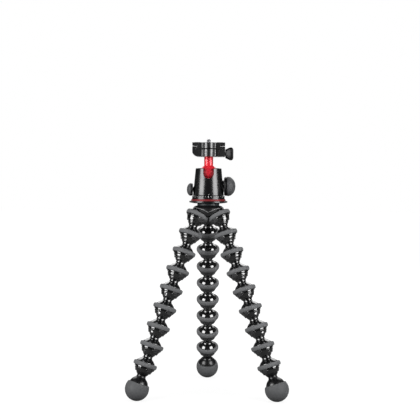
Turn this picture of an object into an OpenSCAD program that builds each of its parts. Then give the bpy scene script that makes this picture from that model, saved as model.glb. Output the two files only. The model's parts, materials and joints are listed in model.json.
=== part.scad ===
// Flexible leg tripod: three legs of ball-and-socket links, a crown, a ball head and a quick release plate.
// Millimetres, +Z up, floor at z = 0, origin under the middle of the footprint, front of the head towards -Y.

/* [Leg links] */
// Diameter of the ball on top of each link
ball_d = 21; // [18:0.5:24]
// Distance from one ball centre to the next along a leg
link_pitch = 28.9; // [26:0.1:34]
// Diameter of the neck under the ball
neck_d = 12.4; // [9:0.1:14]
// Length of neck that shows between the ball and the dome
neck_free = 0.8; // [0.2:0.1:2]
// Wall of the socket at its lip
lip_wall = 1.05; // [0.8:0.05:1.6]
// Distance of the socket lip below the centre of the ball that it holds
lip_drop = 3.2; // [2.4:0.1:4]
// Distance of the bowl's centre above the centre of the ball that it holds
bowl_rise = 6.5; // [5:0.1:8]
// Height of the black band that shows under the rubber ring
band_h = 1.7; // [1:0.1:2.5]
// Height of the rubber ring around a socket
ring_h = 6.4; // [5:0.1:7]
// Distance of the ring's lower edge above the centre of the ball that the socket holds
ring_rise = 4.6; // [4:0.1:5.5]
// Distance that the rubber ring stands out past the bowl
ring_stand = 2.7; // [1.5:0.1:3.2]
// Depth of the groove that the rubber ring sits in
ring_seat = 1.3; // [0.8:0.1:2]
// Thickness of the rubber that runs from the ring down the inner side of the bowl
apron_t = 1.0; // [0.6:0.1:1.3]
// Half of the angle around the link that this rubber covers
apron_half = 96; // [70:1:110]

/* [Feet] */
// Diameter of the round rubber foot
foot_d = 35; // [30:0.5:40]
// Height of the cap's edge above the centre of the foot
cap_rise = 8.3; // [6:0.1:10]
// Width of the rubber step around the cap
cap_step = 1.7; // [1:0.1:3]
// Distance from the foot's ball centre to the centre of the round foot
foot_reach = 28.6; // [27:0.1:32]
// Depth of the flat that the foot rests on
foot_flat = 0.3; // [0.1:0.05:0.6]
// Diameter of the peg that holds the foot on its cap
peg_d = 16; // [10:0.5:20]
// Length of that peg inside the foot
peg_len = 9; // [5:0.5:12]

/* [Stance] */
// Angle of the legs from vertical as they stand
leg_splay = 21.2; // [10:0.1:32]
// Angle of the crown sockets from vertical
socket_tilt = 31; // [26:0.5:36]

/* [Crown] */
// Gap between neighbouring rubber rings on the crown
crown_ring_gap = 1.1; // [0.6:0.1:3]
// Height of the crown's top above the centres of its balls
crown_rise = 21.5; // [19:0.5:26]
// Distance that the crown's dome reaches past the circle of ball centres
dome_reach = 0.5; // [0:0.1:3]
// Radius of the round edge of the dome
dome_edge = 8.5; // [4:0.5:10]
// Height of the dome's lower edge above the rubber rings
dome_gap = 3.9; // [3:0.1:6]
// Depth of the step under the dome's lower edge
dome_step = 1.2; // [0.5:0.1:2]
// Diameter of the platform disc under the head
disc_d = 33; // [28:0.5:40]
// Thickness of the platform disc
disc_t = 3.5; // [2:0.1:6]
// Diameter of the head screw, 3/8 inch
head_screw_d = 9.525; // [6.35:0.005:9.525]
// Length of the head screw inside the head
head_screw_out = 9.5; // [7:0.5:12]
// Length of the head screw inside the crown
head_screw_in = 9; // [6:0.5:11]

/* [Ball head] */
// Diameter of the base flange
base_d = 57; // [52:0.5:64]
// Thickness of the base flange
base_t = 3; // [2:0.1:4]
// Height of the sloping upper side of the flange's edge
base_lip = 0.5; // [0.2:0.1:1]
// Distance that the flange's sloping underside runs in from its edge
base_under = 7; // [3:0.5:9]
// Height of the red trim ring
trim_h = 3.3; // [2.5:0.1:5]
// Distance of the trim ring's lower edge inside the flange's edge
trim_set = 2.1; // [0.5:0.1:3]
// Width of the trim ring at its lower edge
trim_wall = 6.2; // [5:0.1:8]
// Drop in the trim ring's radius from its lower to its upper edge
trim_taper = 1.4; // [0.5:0.1:3]
// Height of the scale ring
scale_h = 5; // [4:0.1:7]
// Diameter of the scale ring
scale_d = 48.4; // [46:0.1:52]
// Wall of the scale ring
scale_wall = 4; // [2.5:0.1:6]
// Diameter of the housing at its foot
housing_d = 46; // [44:0.5:50]
// Diameter of the housing at its top
housing_top_d = 38.4; // [36:0.1:42]
// Height of the housing
housing_h = 40.7; // [38:0.1:46]
// Diameter of the ball
head_ball_d = 27; // [24:0.5:28]
// Distance of the ball's centre below the housing's top
mouth_drop = 7.8; // [6:0.1:9]
// Half of the width of the front notch
notch_half = 7.9; // [7.2:0.1:9]
// Diameter of the stem on the ball
stem_d = 13.4; // [10:0.1:14]
// Length of the stem from the ball's centre to the clamp
stem_len = 24.8; // [22:0.1:30]
// Thickness of the seat cup under the ball
cup_t = 6; // [5:0.1:8]
// Height of the pivot spindle above the base
spindle_h = 10.7; // [9:0.1:11]
// Height of the main lock knob's axis above the housing's foot
lock_z = 13.8; // [13.5:0.1:15]
// Diameter of the main lock shaft
lock_shaft_d = 6; // [4:0.1:6]
// Wall of the housing's boss around that shaft
lock_boss_wall = 3.5; // [2:0.1:5]
// Diameter of the main lock knob
lock_knob_d = 29; // [24:0.5:30]
// Length of the main lock knob
lock_knob_len = 17; // [12:0.5:24]
// Height of the pan lock knob's axis above the housing's foot
pan_z = 8.8; // [8:0.1:9]
// Diameter of the pan lock shaft
pan_shaft_d = 4.6; // [4:0.1:5]
// Wall of the housing's boss around that shaft
pan_boss_wall = 2; // [1.5:0.1:4]
// Diameter of the pan lock knob
pan_knob_d = 19; // [15:0.5:20]
// Length of the pan lock knob
pan_knob_len = 9; // [7:0.5:14]
// Depth of each shaft's end inside its knob
knob_sink = 4; // [3:0.1:5]
// Length of the brass shoe between the pan lock shaft and the spindle
shoe_len = 2; // [1.5:0.1:3]
// Width of the snap ring that keeps the housing on its spindle
snap_w = 1.4; // [1:0.1:2]
// Thickness of the snap ring
snap_t = 1; // [0.8:0.1:1.2]

/* [Quick release] */
// Width of the clamp and of the plate's top
clamp_w = 48.4; // [46:0.1:60]
// Depth of the clamp without its round ends
clamp_depth = 44; // [38:0.5:56]
// Radius of the round ends of the clamp and the plate
lobe_r = 9; // [8:0.5:12]
// Distance that the round ends reach past the flat ends
lobe_reach = 8; // [4:0.5:9]
// Gap between the clamp's round ends and the plate's
lobe_gap = 1.2; // [0.5:0.1:2]
// Height of the clamp from its underside to the floor of its channel
clamp_floor_h = 10.6; // [10:0.1:14]
// Width of the round corner under the fixed jaw
corner_w = 10; // [5:0.5:12]
// Height of the round corner under the fixed jaw
corner_h = 7; // [4:0.1:9]
// Width of the moving jaw
jaw_w = 9.2; // [8:0.1:9.6]
// Gap between the clamp body and the closed jaw
jaw_gap = 0.3; // [0.2:0.05:0.6]
// Width of the plate's dovetail at its foot
dovetail_w = 38; // [36:0.1:40]
// Depth of the dovetail's sloping sides, which stand at 45 degrees
dovetail_cut = 2; // [1.5:0.1:2.5]
// Height of the dovetail's upright edge
dovetail_edge = 1.2; // [0.8:0.1:2]
// Height of the slot between the jaws and the plate's top
slot_h = 1.6; // [1:0.1:3]
// Distance that the jaws stand above the dovetail's sloping sides
jaw_over = 0.8; // [0.2:0.1:1.2]
// Thickness of the plate's top
plate_t = 4.4; // [3.6:0.1:6]
// Diameter of the clamp screw
clamp_screw_d = 5; // [4:0.1:6]
// Length of the clamp screw inside the clamp body
clamp_screw_in = 7.4; // [6:0.1:9]
// Height of the clamp screw's axis above the clamp's underside
screw_rise = 4.6; // [4:0.1:5.4]
// Diameter of the clamp knob's hub
clamp_hub_d = 12.2; // [8:0.1:13]
// Length of the clamp knob's hub
clamp_hub_len = 5.4; // [5.2:0.1:8]
// Diameter of the clamp knob across its wings
clamp_knob_d = 19.6; // [14:0.2:20]
// Length of the clamp knob
clamp_knob_len = 12; // [9:0.5:16]
// Thickness of the clamp knob's wings
wing_t = 6; // [4:0.5:8]
// Size of the wings' cut corners
wing_corner = 3.4; // [1:0.1:4]
// Diameter of the jaw's two guide pins
guide_pin_d = 3; // [2:0.1:4]
// Distance between the two guide pins
guide_pin_gap = 28; // [24:0.5:36]
// Length of each guide pin inside the clamp body
guide_pin_in = 9; // [5:0.5:12]
// Length of each guide pin inside the jaw
guide_pin_out = 6; // [4:0.5:7]
// Diameter of the bolt that holds the clamp on the stem
clamp_bolt_d = 6; // [5:0.1:6]
// Diameter of that bolt's head
clamp_bolt_head_d = 10; // [9:0.1:11]
// Height of that bolt's head
clamp_bolt_head_h = 4; // [3:0.1:5]
// Distance of that bolt's head below the channel's floor
bolt_sink = 0.2; // [0.1:0.1:1]
// Length of that bolt inside the stem
clamp_bolt_in = 8; // [5:0.5:10]
// Diameter of the camera screw, 1/4 inch
camera_screw_d = 6.35; // [6.35:0.005:9.525]
// Diameter of the camera screw's undercut neck inside the plate
camera_neck_d = 5.2; // [4:0.1:6]
// Length of the camera screw above the plate
camera_screw_out = 5.5; // [4:0.1:7]
// Diameter of the camera screw's head
camera_screw_head_d = 16; // [12:0.5:20]
// Height of the camera screw's head
camera_screw_head_h = 3; // [2:0.1:3.6]
// Width of the coin slot in the camera screw
coin_slot_w = 1.6; // [1:0.1:2.5]
// Width of each rubber pad on the plate
pad_w = 9; // [5:0.5:10]
// Depth of the rubber pads in the plate
pad_in = 0.8; // [0.5:0.1:1.5]
// Distance that the rubber pads stand above the plate
pad_out = 0.4; // [0.1:0.1:0.8]
// Width of the metal rim beside each pad
pad_rim = 3; // [2:0.5:5]

/* [Fits] */
// Radial gap between a leg ball and its socket
socket_gap = 0.1; // [0.05:0.01:0.2]
// Gap between pieces that are clipped or screwed together
fit_gap = 0.05; // [0.02:0.01:0.1]
// Radial gap of pieces that turn or slide in each other
run_gap = 0.08; // [0.05:0.01:0.1]
// Gap between faces that pass each other
pass_gap = 0.3; // [0.2:0.05:0.6]

/* [Hidden] */
$fn = 64;
LEGS = ["left", "right", "rear"];
LINKS = 8;
LEG_ANGLES = [210, 330, 90];
// Distance past a face that a cut runs
over = 1;
// A length greater than the whole tripod
far = 900;

// Leg links, measured down the leg from the ball's centre
ball_r = ball_d / 2;
neck_r = neck_d / 2;
socket_r = ball_r + socket_gap;
neck_end = ball_r + neck_free;
lip_u = link_pitch + lip_drop;
lip_r = sqrt(pow(socket_r, 2) - pow(lip_drop, 2)) + lip_wall;
bowl_u = link_pitch - bowl_rise;
bowl_r = sqrt(pow(lip_r, 2) + pow(bowl_rise + lip_drop, 2));
groove_r = bowl_r - ring_seat;
ring_r = bowl_r + ring_stand;
ring_low_u = link_pitch - ring_rise;
ring_top_u = ring_low_u - ring_h;
band_u = ring_low_u + band_h;
ring_edge = ring_h / 3;

// Feet and stance
foot_r = foot_d / 2;
cap_u = foot_reach - cap_rise;
cap_r = sqrt(pow(foot_r, 2) - pow(cap_rise, 2)) - cap_step;
leg_len = LINKS * link_pitch + foot_reach;
ring_mid_rise = ring_rise + ring_h / 2;
side_tilt = sin(60) * sin(socket_tilt);
ring_side = ring_r * sqrt(1 - pow(side_tilt, 2)) + crown_ring_gap / 2;
crown_r = ring_mid_rise * sin(socket_tilt) + ring_side / sin(60);
crown_z = foot_r - foot_flat + leg_len * cos(leg_splay);
foot_circle_r = crown_r + leg_len * sin(leg_splay);
axis_y = -foot_circle_r / 4;

// Crown
dome_r = crown_r + dome_reach;
crown_top = crown_z + crown_rise;
disc_top = crown_top + disc_t;

// Ball head
trim_z = disc_top + base_t;
scale_z = trim_z + trim_h;
scale_top = scale_z + scale_h;
trim_r = base_d / 2 - trim_set;
trim_hub_r = trim_r - trim_wall;
scale_hub_r = min(scale_d / 2 - scale_wall, trim_hub_r);
housing_z = scale_top + pass_gap;
housing_top = housing_z + housing_h;
head_ball_r = head_ball_d / 2;
ball_z = housing_top - mouth_drop;
bore_r = head_ball_r + run_gap + pass_gap / 2;
spindle_r = bore_r - run_gap;
spindle_top = scale_top + spindle_h;
lock_axis_z = housing_z + lock_z;
pan_axis_z = housing_z + pan_z;
snap_z = housing_z + 2 * snap_t;
snap_in = spindle_r - snap_w / 2;
cup_top = ball_z - max(head_ball_r - cup_t, stem_d / 2 + pass_gap);
cup_low = lock_axis_z + lock_shaft_d / 2 + pass_gap;
boss_x = housing_d / 2;
lock_boss_r = lock_shaft_d / 2 + lock_boss_wall;
pan_boss_r = pan_shaft_d / 2 + pan_boss_wall;
lock_knob_x = boss_x + pass_gap;
pan_knob_x = boss_x + pass_gap;

// Quick release
clamp_z = ball_z + stem_len;
channel_z = clamp_z + clamp_floor_h;
plate_z = channel_z + fit_gap * 2;
edge_z = plate_z + dovetail_edge;
slope_z = edge_z + dovetail_cut;
jaw_top = slope_z + jaw_over;
top_z = jaw_top + slot_h;
plate_top = top_z + plate_t;
half_w = clamp_w / 2;
half_depth = clamp_depth / 2;
dovetail_half = dovetail_w / 2;
plate_neck_half = dovetail_half - dovetail_cut;
jaw_x = half_w - jaw_w;
body_x = jaw_x - jaw_gap;
screw_z = clamp_z + screw_rise;
bolt_head_z = channel_z - bolt_sink - clamp_bolt_head_h;
clamp_knob_x = half_w + pass_gap + jaw_gap;
recess_r = camera_screw_head_d / 2 + pass_gap;
recess_top = plate_z + camera_screw_head_h + 2 * pass_gap;
screw_head_z = plate_z + pass_gap;

// Puts its children on the tripod's axis.
module on_axis() {
    translate([0, axis_y, 0]) children();
}

// Puts its children at a crown ball's centre, with +Z down a line that leans out by an angle and +X outwards.
module at_crown_ball(leg_angle, lean) {
    on_axis()
        rotate([0, 0, leg_angle])
            translate([crown_r, 0, crown_z])
                rotate([0, 180 - lean, 0])
                    rotate([0, 0, 180])
                        children();
}

// Puts its children at the ball of a link, counted from the crown, with +Z down the leg.
module at_link(leg, index) {
    at_crown_ball(LEG_ANGLES[leg], leg_splay)
        translate([0, 0, (index - 1) * link_pitch])
            children();
}

// Puts its children where a link would end in a crown socket.
module at_socket(leg) {
    at_crown_ball(LEG_ANGLES[leg], socket_tilt)
        translate([0, 0, -link_pitch])
            children();
}

// Ball, neck and round dome, down to an edge of the dome.
module ball_and_dome(edge_r, edge_u) {
    rise = edge_u - neck_end;
    round_u = (pow(edge_r, 2) + pow(edge_u, 2) - pow(neck_r, 2) - pow(neck_end, 2)) / (2 * rise);
    round_r = sqrt(pow(neck_r, 2) + pow(round_u - neck_end, 2));
    sphere(ball_r);
    cylinder(r = neck_r, h = neck_end + rise / 2);
    intersection() {
        translate([0, 0, round_u])
            sphere(round_r);
        translate([0, 0, neck_end])
            cylinder(r = round_r, h = rise);
    }
}

// Outside of a socket from the rubber ring's groove down to the lip.
module socket_outside(grow) {
    translate([0, 0, ring_top_u])
        cylinder(r = groove_r + grow, h = ring_h + over);
    translate([0, 0, ring_low_u - grow])
        cylinder(r = bowl_r + grow, h = band_h + 2 * grow);
    intersection() {
        translate([0, 0, bowl_u])
            sphere(bowl_r + grow);
        translate([0, 0, ring_low_u])
            cylinder(r = ring_r, h = lip_u - ring_low_u);
    }
}

// Hollow that holds the next ball.
module socket_hollow() {
    translate([0, 0, link_pitch])
        sphere(socket_r);
}

// Rubber ring with the apron that runs down the bowl's inner side.
module rubber_ring() {
    seat_r = groove_r + fit_gap;
    low_r = ring_r - ring_edge / 3;
    difference() {
        rotate_extrude()
            polygon([
                [seat_r, ring_top_u + ring_edge / 6],
                [ring_r - ring_edge, ring_top_u],
                [ring_r - ring_edge / 3, ring_top_u + ring_edge / 2],
                [ring_r, ring_top_u + ring_edge],
                [ring_r, ring_low_u - ring_edge],
                [low_r, ring_low_u - fit_gap],
                [seat_r, ring_low_u - fit_gap],
            ]);
        translate([0, 0, ring_top_u])
            cylinder(r = seat_r, h = ring_h + over);
    }
    apron_u = lip_u - apron_t / 2;
    difference() {
        rotate([0, 0, 180 - apron_half])
            rotate_extrude(angle = 2 * apron_half)
                polygon([
                    [neck_r, ring_low_u - over],
                    [low_r, ring_low_u - over],
                    [low_r - ring_edge / 6, ring_low_u],
                    [lip_r + apron_t, apron_u],
                    [neck_r, apron_u],
                ]);
        socket_outside(fit_gap);
        socket_hollow();
        translate([0, 0, link_pitch])
            cylinder(r = socket_r, h = lip_drop + over);
    }
}

// One leg link: moulded shell and rubber ring.
module leg_link(leg, index) {
    at_link(leg, index) {
        color("#141416")
            difference() {
                union() {
                    ball_and_dome(groove_r, ring_top_u);
                    socket_outside(0);
                }
                socket_hollow();
            }
        color("#5c5d60") rubber_ring();
    }
}

// Ball, neck and cap of a foot, with the peg that the rubber is moulded around.
module foot_ball(leg) {
    color("#141416")
        at_link(leg, LINKS + 1) {
            ball_and_dome(cap_r, cap_u);
            translate([0, 0, cap_u - over])
                cylinder(d = peg_d, h = peg_len + over);
        }
}

// Round rubber foot with its flat on the floor.
module foot_pad(leg) {
    color("#4c4d50")
        intersection() {
            at_link(leg, LINKS + 1)
                difference() {
                    translate([0, 0, foot_reach])
                        sphere(foot_r);
                    translate([0, 0, -over])
                        cylinder(r = foot_d, h = cap_u + fit_gap + over);
                    cylinder(d = peg_d + 2 * fit_gap, h = cap_u + peg_len + fit_gap);
                }
            translate([-far / 2, -far / 2, 0])
                cube(far);
        }
}

// Everything inward of a plane across a crown socket.
module above_socket_plane(leg, plane_u) {
    at_socket(leg)
        translate([0, 0, plane_u - far])
            cylinder(r = far, h = far);
}

// Solid of revolution for the crown's dome.
module dome_solid(radius, top) {
    round_r = min(dome_edge, radius / 2);
    translate([0, axis_y, crown_z])
        rotate_extrude() {
            square([radius - round_r, top - crown_z]);
            square([radius, top - crown_z - round_r]);
            translate([radius - round_r, top - crown_z - round_r])
                intersection() {
                    circle(round_r);
                    square(round_r);
                }
        }
}

// Dome cut off along the three rubber rings.
module cut_dome(radius, top, plane_u) {
    intersection() {
        dome_solid(radius, top);
        above_socket_plane(0, plane_u);
        above_socket_plane(1, plane_u);
        above_socket_plane(2, plane_u);
    }
}

// Crown with its three sockets.
module crown_body() {
    lobe_top_u = ring_top_u - dome_gap - over;
    color("#1b1b1d")
        difference() {
            union() {
                cut_dome(dome_r, crown_top, ring_top_u - dome_gap);
                cut_dome(dome_r - dome_step, crown_top - dome_step, ring_top_u - fit_gap);
                for (leg = [0 : 2])
                    at_socket(leg) {
                        translate([0, 0, lobe_top_u])
                            cylinder(r1 = groove_r - dome_gap, r2 = groove_r, h = ring_top_u - lobe_top_u);
                        socket_outside(0);
                    }
            }
            for (leg = [0 : 2])
                at_socket(leg) socket_hollow();
            translate([0, axis_y, crown_top - head_screw_in - fit_gap])
                cylinder(d = head_screw_d + 2 * fit_gap, h = head_screw_in + over);
        }
}

// Rubber rings of the crown sockets.
module crown_rings() {
    color("#5c5d60")
        for (leg = [0 : 2])
            at_socket(leg) rubber_ring();
}

// Platform disc that the head stands on.
module crown_disc() {
    color("#202428")
        translate([0, axis_y, crown_top])
            difference() {
                cylinder(d = disc_d, h = disc_t);
                translate([0, 0, -over])
                    cylinder(d = head_screw_d + 2 * fit_gap, h = disc_t + 2 * over);
            }
}

// Head screw between the crown and the head.
module head_screw() {
    color("silver")
        translate([0, axis_y, crown_top - head_screw_in])
            cylinder(d = head_screw_d, h = head_screw_in + disc_t + head_screw_out);
}

// Base of the head with its pivot spindle.
module pan_base() {
    groove_h = snap_t + 2 * run_gap;
    color("#161618")
        translate([0, axis_y, 0])
            difference() {
                union() {
                    translate([0, 0, disc_top])
                        cylinder(r1 = base_d / 2 - base_under, r2 = base_d / 2, h = base_t - base_lip);
                    translate([0, 0, trim_z - base_lip])
                        cylinder(r1 = base_d / 2, r2 = trim_r, h = base_lip);
                    translate([0, 0, disc_top])
                        cylinder(r = trim_hub_r, h = scale_z - disc_top);
                    translate([0, 0, disc_top])
                        cylinder(r = scale_hub_r, h = scale_top - disc_top);
                    translate([0, 0, disc_top])
                        cylinder(r = spindle_r, h = spindle_top - disc_top);
                }
                translate([0, 0, snap_z - run_gap])
                    difference() {
                        cylinder(r = bore_r + over, h = groove_h);
                        translate([0, 0, -over])
                            cylinder(r = snap_in - fit_gap, h = groove_h + 2 * over);
                    }
                translate([0, 0, disc_top - over])
                    cylinder(d = head_screw_d + 2 * fit_gap, h = head_screw_out + fit_gap + over);
            }
}

// Tapered red ring on the base flange.
module trim_ring() {
    color("#b3202c")
        translate([0, axis_y, trim_z])
            difference() {
                cylinder(r1 = trim_r, r2 = trim_r - trim_taper, h = trim_h);
                translate([0, 0, -over])
                    cylinder(r = trim_hub_r + fit_gap, h = trim_h + 2 * over);
            }
}

// Ring that carries the degree scale.
module scale_ring() {
    color("#1a1a1c")
        translate([0, axis_y, scale_z])
            difference() {
                cylinder(d = scale_d, h = scale_h);
                translate([0, 0, -over])
                    cylinder(r = scale_hub_r + fit_gap, h = scale_h + 2 * over);
            }
}

// Snap ring that keeps the housing on the spindle.
module snap_ring() {
    color("silver")
        translate([0, axis_y, snap_z])
            difference() {
                cylinder(r = snap_in + snap_w, h = snap_t);
                translate([0, 0, -over])
                    cylinder(r = snap_in, h = snap_t + 2 * over);
            }
}

// Cylinder along X from one x to another, at a height on the tripod's axis.
module x_rod(radius, x0, x1, z, y = 0) {
    translate([min(x0, x1), axis_y + y, z])
        rotate([0, 90, 0])
            cylinder(r = radius, h = abs(x1 - x0));
}

// Housing with the ball's seat, the front notch and the two lock bosses.
module housing() {
    groove_h = snap_t + 4 * run_gap;
    color("#101012")
        difference() {
            union() {
                translate([0, axis_y, housing_z])
                    cylinder(d1 = housing_d, d2 = housing_top_d, h = housing_h);
                x_rod(lock_boss_r, 0, boss_x, lock_axis_z);
                x_rod(pan_boss_r, 0, -boss_x, pan_axis_z);
            }
            translate([0, axis_y, housing_z - over])
                cylinder(r = bore_r, h = ball_z - housing_z + over);
            translate([0, axis_y, ball_z])
                sphere(head_ball_r + run_gap);
            translate([0, axis_y, snap_z - 2 * run_gap])
                cylinder(r = snap_in + snap_w + 2 * run_gap, h = groove_h);
            translate([-notch_half, axis_y - housing_d, ball_z])
                cube([2 * notch_half, housing_d, housing_h]);
            translate([0, axis_y, ball_z])
                rotate([90, 0, 0])
                    cylinder(r = notch_half, h = housing_d);
            x_rod(lock_shaft_d / 2 + run_gap, 0, boss_x + over, lock_axis_z);
            x_rod(pan_shaft_d / 2 + run_gap, 0, -boss_x - over, pan_axis_z);
        }
}

// Cup that presses the ball from below.
module seat_cup() {
    color("#d8d4c6")
        difference() {
            translate([0, axis_y, cup_low])
                cylinder(r = bore_r - fit_gap, h = cup_top - cup_low);
            translate([0, axis_y, ball_z])
                sphere(head_ball_r + run_gap);
        }
}

// Ball and stem, with the thread for the clamp bolt.
module ball_stem() {
    color("#c2222f")
        translate([0, axis_y, ball_z])
            difference() {
                union() {
                    sphere(head_ball_r);
                    cylinder(d = stem_d, h = stem_len - fit_gap);
                }
                translate([0, 0, stem_len - clamp_bolt_in - fit_gap])
                    cylinder(d = clamp_bolt_d + 2 * run_gap, h = clamp_bolt_in + over);
            }
}

// Shaft that wedges the cup against the ball.
module lock_shaft() {
    cone_x = bore_r / 2;
    color("silver") {
        x_rod(lock_shaft_d / 2, cone_x, lock_knob_x + knob_sink - fit_gap, lock_axis_z);
        translate([0, axis_y, lock_axis_z])
            rotate([0, 90, 0])
                cylinder(d1 = lock_shaft_d / 2, d2 = lock_shaft_d, h = cone_x);
    }
}

// Round-faced knob along X with a hole for its shaft, from shares of its radius and of its length.
module round_knob(knob_d, knob_len, shaft_d) {
    r = knob_d / 2;
    shares = [
        [0, 0], [0.82, 0], [0.95, 0.12], [1, 0.25], [1, 0.42], [0.9, 0.62], [0.66, 0.82], [0.39, 0.94], [0, 1]
    ];
    difference() {
        rotate([0, 90, 0])
            rotate_extrude()
                polygon([for (share = shares) [share[0] * r, share[1] * knob_len]]);
        translate([-over, 0, 0])
            rotate([0, 90, 0])
                cylinder(d = shaft_d + 2 * fit_gap, h = knob_sink + over);
    }
}

// Main lock knob.
module lock_knob() {
    color("#242427")
        translate([lock_knob_x, axis_y, lock_axis_z])
            round_knob(lock_knob_d, lock_knob_len, lock_shaft_d);
}

// Shaft of the pan lock.
module pan_shaft() {
    color("silver")
        x_rod(pan_shaft_d / 2, -bore_r - shoe_len, -pan_knob_x - knob_sink + fit_gap, pan_axis_z);
}

// Brass shoe that the pan lock presses on the spindle.
module pan_shoe() {
    color("#b08d4a")
        difference() {
            x_rod(pan_shaft_d / 2, -spindle_r + over, -bore_r - shoe_len + fit_gap, pan_axis_z);
            translate([0, axis_y, 0])
                cylinder(r = spindle_r + run_gap, h = far);
        }
}

// Pan lock knob.
module pan_knob() {
    color("#242427")
        translate([-pan_knob_x, axis_y, pan_axis_z])
            rotate([0, 0, 180])
                round_knob(pan_knob_d, pan_knob_len, pan_shaft_d);
}

// Outline with round ends, from one x to another.
module lobed_outline(x0, x1) {
    translate([x0, -half_depth])
        square([x1 - x0, clamp_depth]);
    for (side = [-1, 1])
        translate([0, side * (half_depth + lobe_reach - lobe_r)])
            circle(lobe_r);
}

// Bar along Y whose inner side hooks over the dovetail's sloping side, for the side at +X.
module jaw_hook(gap) {
    translate([0, axis_y + half_depth, 0])
        rotate([90, 0, 0])
            linear_extrude(clamp_depth)
                polygon([
                    [dovetail_half + gap, channel_z - over],
                    [dovetail_half + gap, edge_z],
                    [plate_neck_half + gap, slope_z],
                    [plate_neck_half + gap, jaw_top],
                    [half_w, jaw_top],
                    [half_w, channel_z - over],
                ]);
}

// Clamp body with the fixed jaw.
module clamp_body() {
    color("#1a1a1c")
        difference() {
            union() {
                translate([0, axis_y, clamp_z])
                    linear_extrude(clamp_floor_h)
                        lobed_outline(-half_w, body_x);
                mirror([1, 0, 0]) jaw_hook(run_gap);
            }
            translate([-half_w, axis_y + half_depth + over, clamp_z])
                rotate([90, 0, 0])
                    linear_extrude(clamp_depth + 2 * over)
                        polygon(concat(
                            [[-over, corner_h], [-over, -over], [corner_w, -over]],
                            [for (a = [0 : 9 : 90]) [corner_w * (1 - sin(a)), corner_h * (1 - cos(a))]]
                        ));
            translate([0, axis_y, bolt_head_z])
                cylinder(d = clamp_bolt_head_d + 2 * fit_gap, h = far);
            translate([0, axis_y, clamp_z - over])
                cylinder(d = clamp_bolt_d + 2 * fit_gap, h = clamp_floor_h);
            x_rod(clamp_screw_d / 2 + run_gap, body_x - clamp_screw_in - fit_gap, body_x + over, screw_z);
            for (side = [-1, 1])
                x_rod(
                    guide_pin_d / 2 + fit_gap,
                    body_x - guide_pin_in - fit_gap,
                    body_x + over,
                    screw_z,
                    side * guide_pin_gap / 2
                );
        }
}

// Bolt that holds the clamp on the stem.
module clamp_bolt() {
    hex_d = clamp_bolt_head_d / 2;
    color("silver")
        translate([0, axis_y, bolt_head_z])
            difference() {
                union() {
                    cylinder(d = clamp_bolt_head_d, h = clamp_bolt_head_h);
                    translate([0, 0, clamp_z - clamp_bolt_in - bolt_head_z])
                        cylinder(d = clamp_bolt_d, h = clamp_bolt_in + bolt_head_z - clamp_z + over);
                }
                translate([0, 0, clamp_bolt_head_h / 2])
                    cylinder(d = hex_d, h = clamp_bolt_head_h, $fn = 6);
            }
}

// Pins that guide the moving jaw.
module guide_pins() {
    color("silver")
        for (side = [-1, 1])
            x_rod(
                guide_pin_d / 2,
                body_x - guide_pin_in,
                jaw_x + guide_pin_out,
                screw_z,
                side * guide_pin_gap / 2
            );
}

// Moving jaw.
module clamp_jaw() {
    color("#1a1a1c")
        difference() {
            union() {
                translate([jaw_x, axis_y - half_depth, clamp_z])
                    cube([jaw_w, clamp_depth, clamp_floor_h]);
                jaw_hook(run_gap);
            }
            x_rod(clamp_screw_d / 2 + run_gap, jaw_x - over, half_w + over, screw_z);
            for (side = [-1, 1])
                x_rod(
                    guide_pin_d / 2 + run_gap,
                    jaw_x - over,
                    jaw_x + guide_pin_out + pass_gap,
                    screw_z,
                    side * guide_pin_gap / 2
                );
        }
}

// Screw that pulls the jaw shut.
module clamp_screw() {
    color("silver")
        x_rod(clamp_screw_d / 2, body_x - clamp_screw_in, clamp_knob_x + knob_sink - fit_gap, screw_z);
}

// Wing knob on the clamp screw.
module clamp_knob() {
    r = clamp_knob_d / 2;
    hub_r = clamp_hub_d / 2;
    color("#202022")
        translate([clamp_knob_x, axis_y, screw_z])
            difference() {
                union() {
                    rotate([0, 90, 0])
                        cylinder(r = hub_r, h = clamp_hub_len);
                    translate([0, wing_t / 2, 0])
                        rotate([90, 0, 0])
                            linear_extrude(wing_t) {
                                polygon([
                                    [0, -hub_r],
                                    [0, hub_r],
                                    [clamp_knob_len - wing_corner, r],
                                    [clamp_knob_len, r - wing_corner],
                                    [clamp_knob_len, wing_corner - r],
                                    [clamp_knob_len - wing_corner, -r],
                                ]);
                            }
                }
                translate([-over, 0, 0])
                    rotate([0, 90, 0])
                        cylinder(d = clamp_screw_d + 2 * fit_gap, h = knob_sink + over);
            }
}

// Outline of one rubber pad on the plate, on the side at +X or -X.
module pad_outline(side, grow) {
    middle_x = side * (half_w - pad_rim - pad_w / 2);
    translate([middle_x - pad_w / 2 - grow, -half_depth + pad_rim - grow])
        square([pad_w + 2 * grow, clamp_depth - 2 * pad_rim + 2 * grow]);
}

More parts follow.
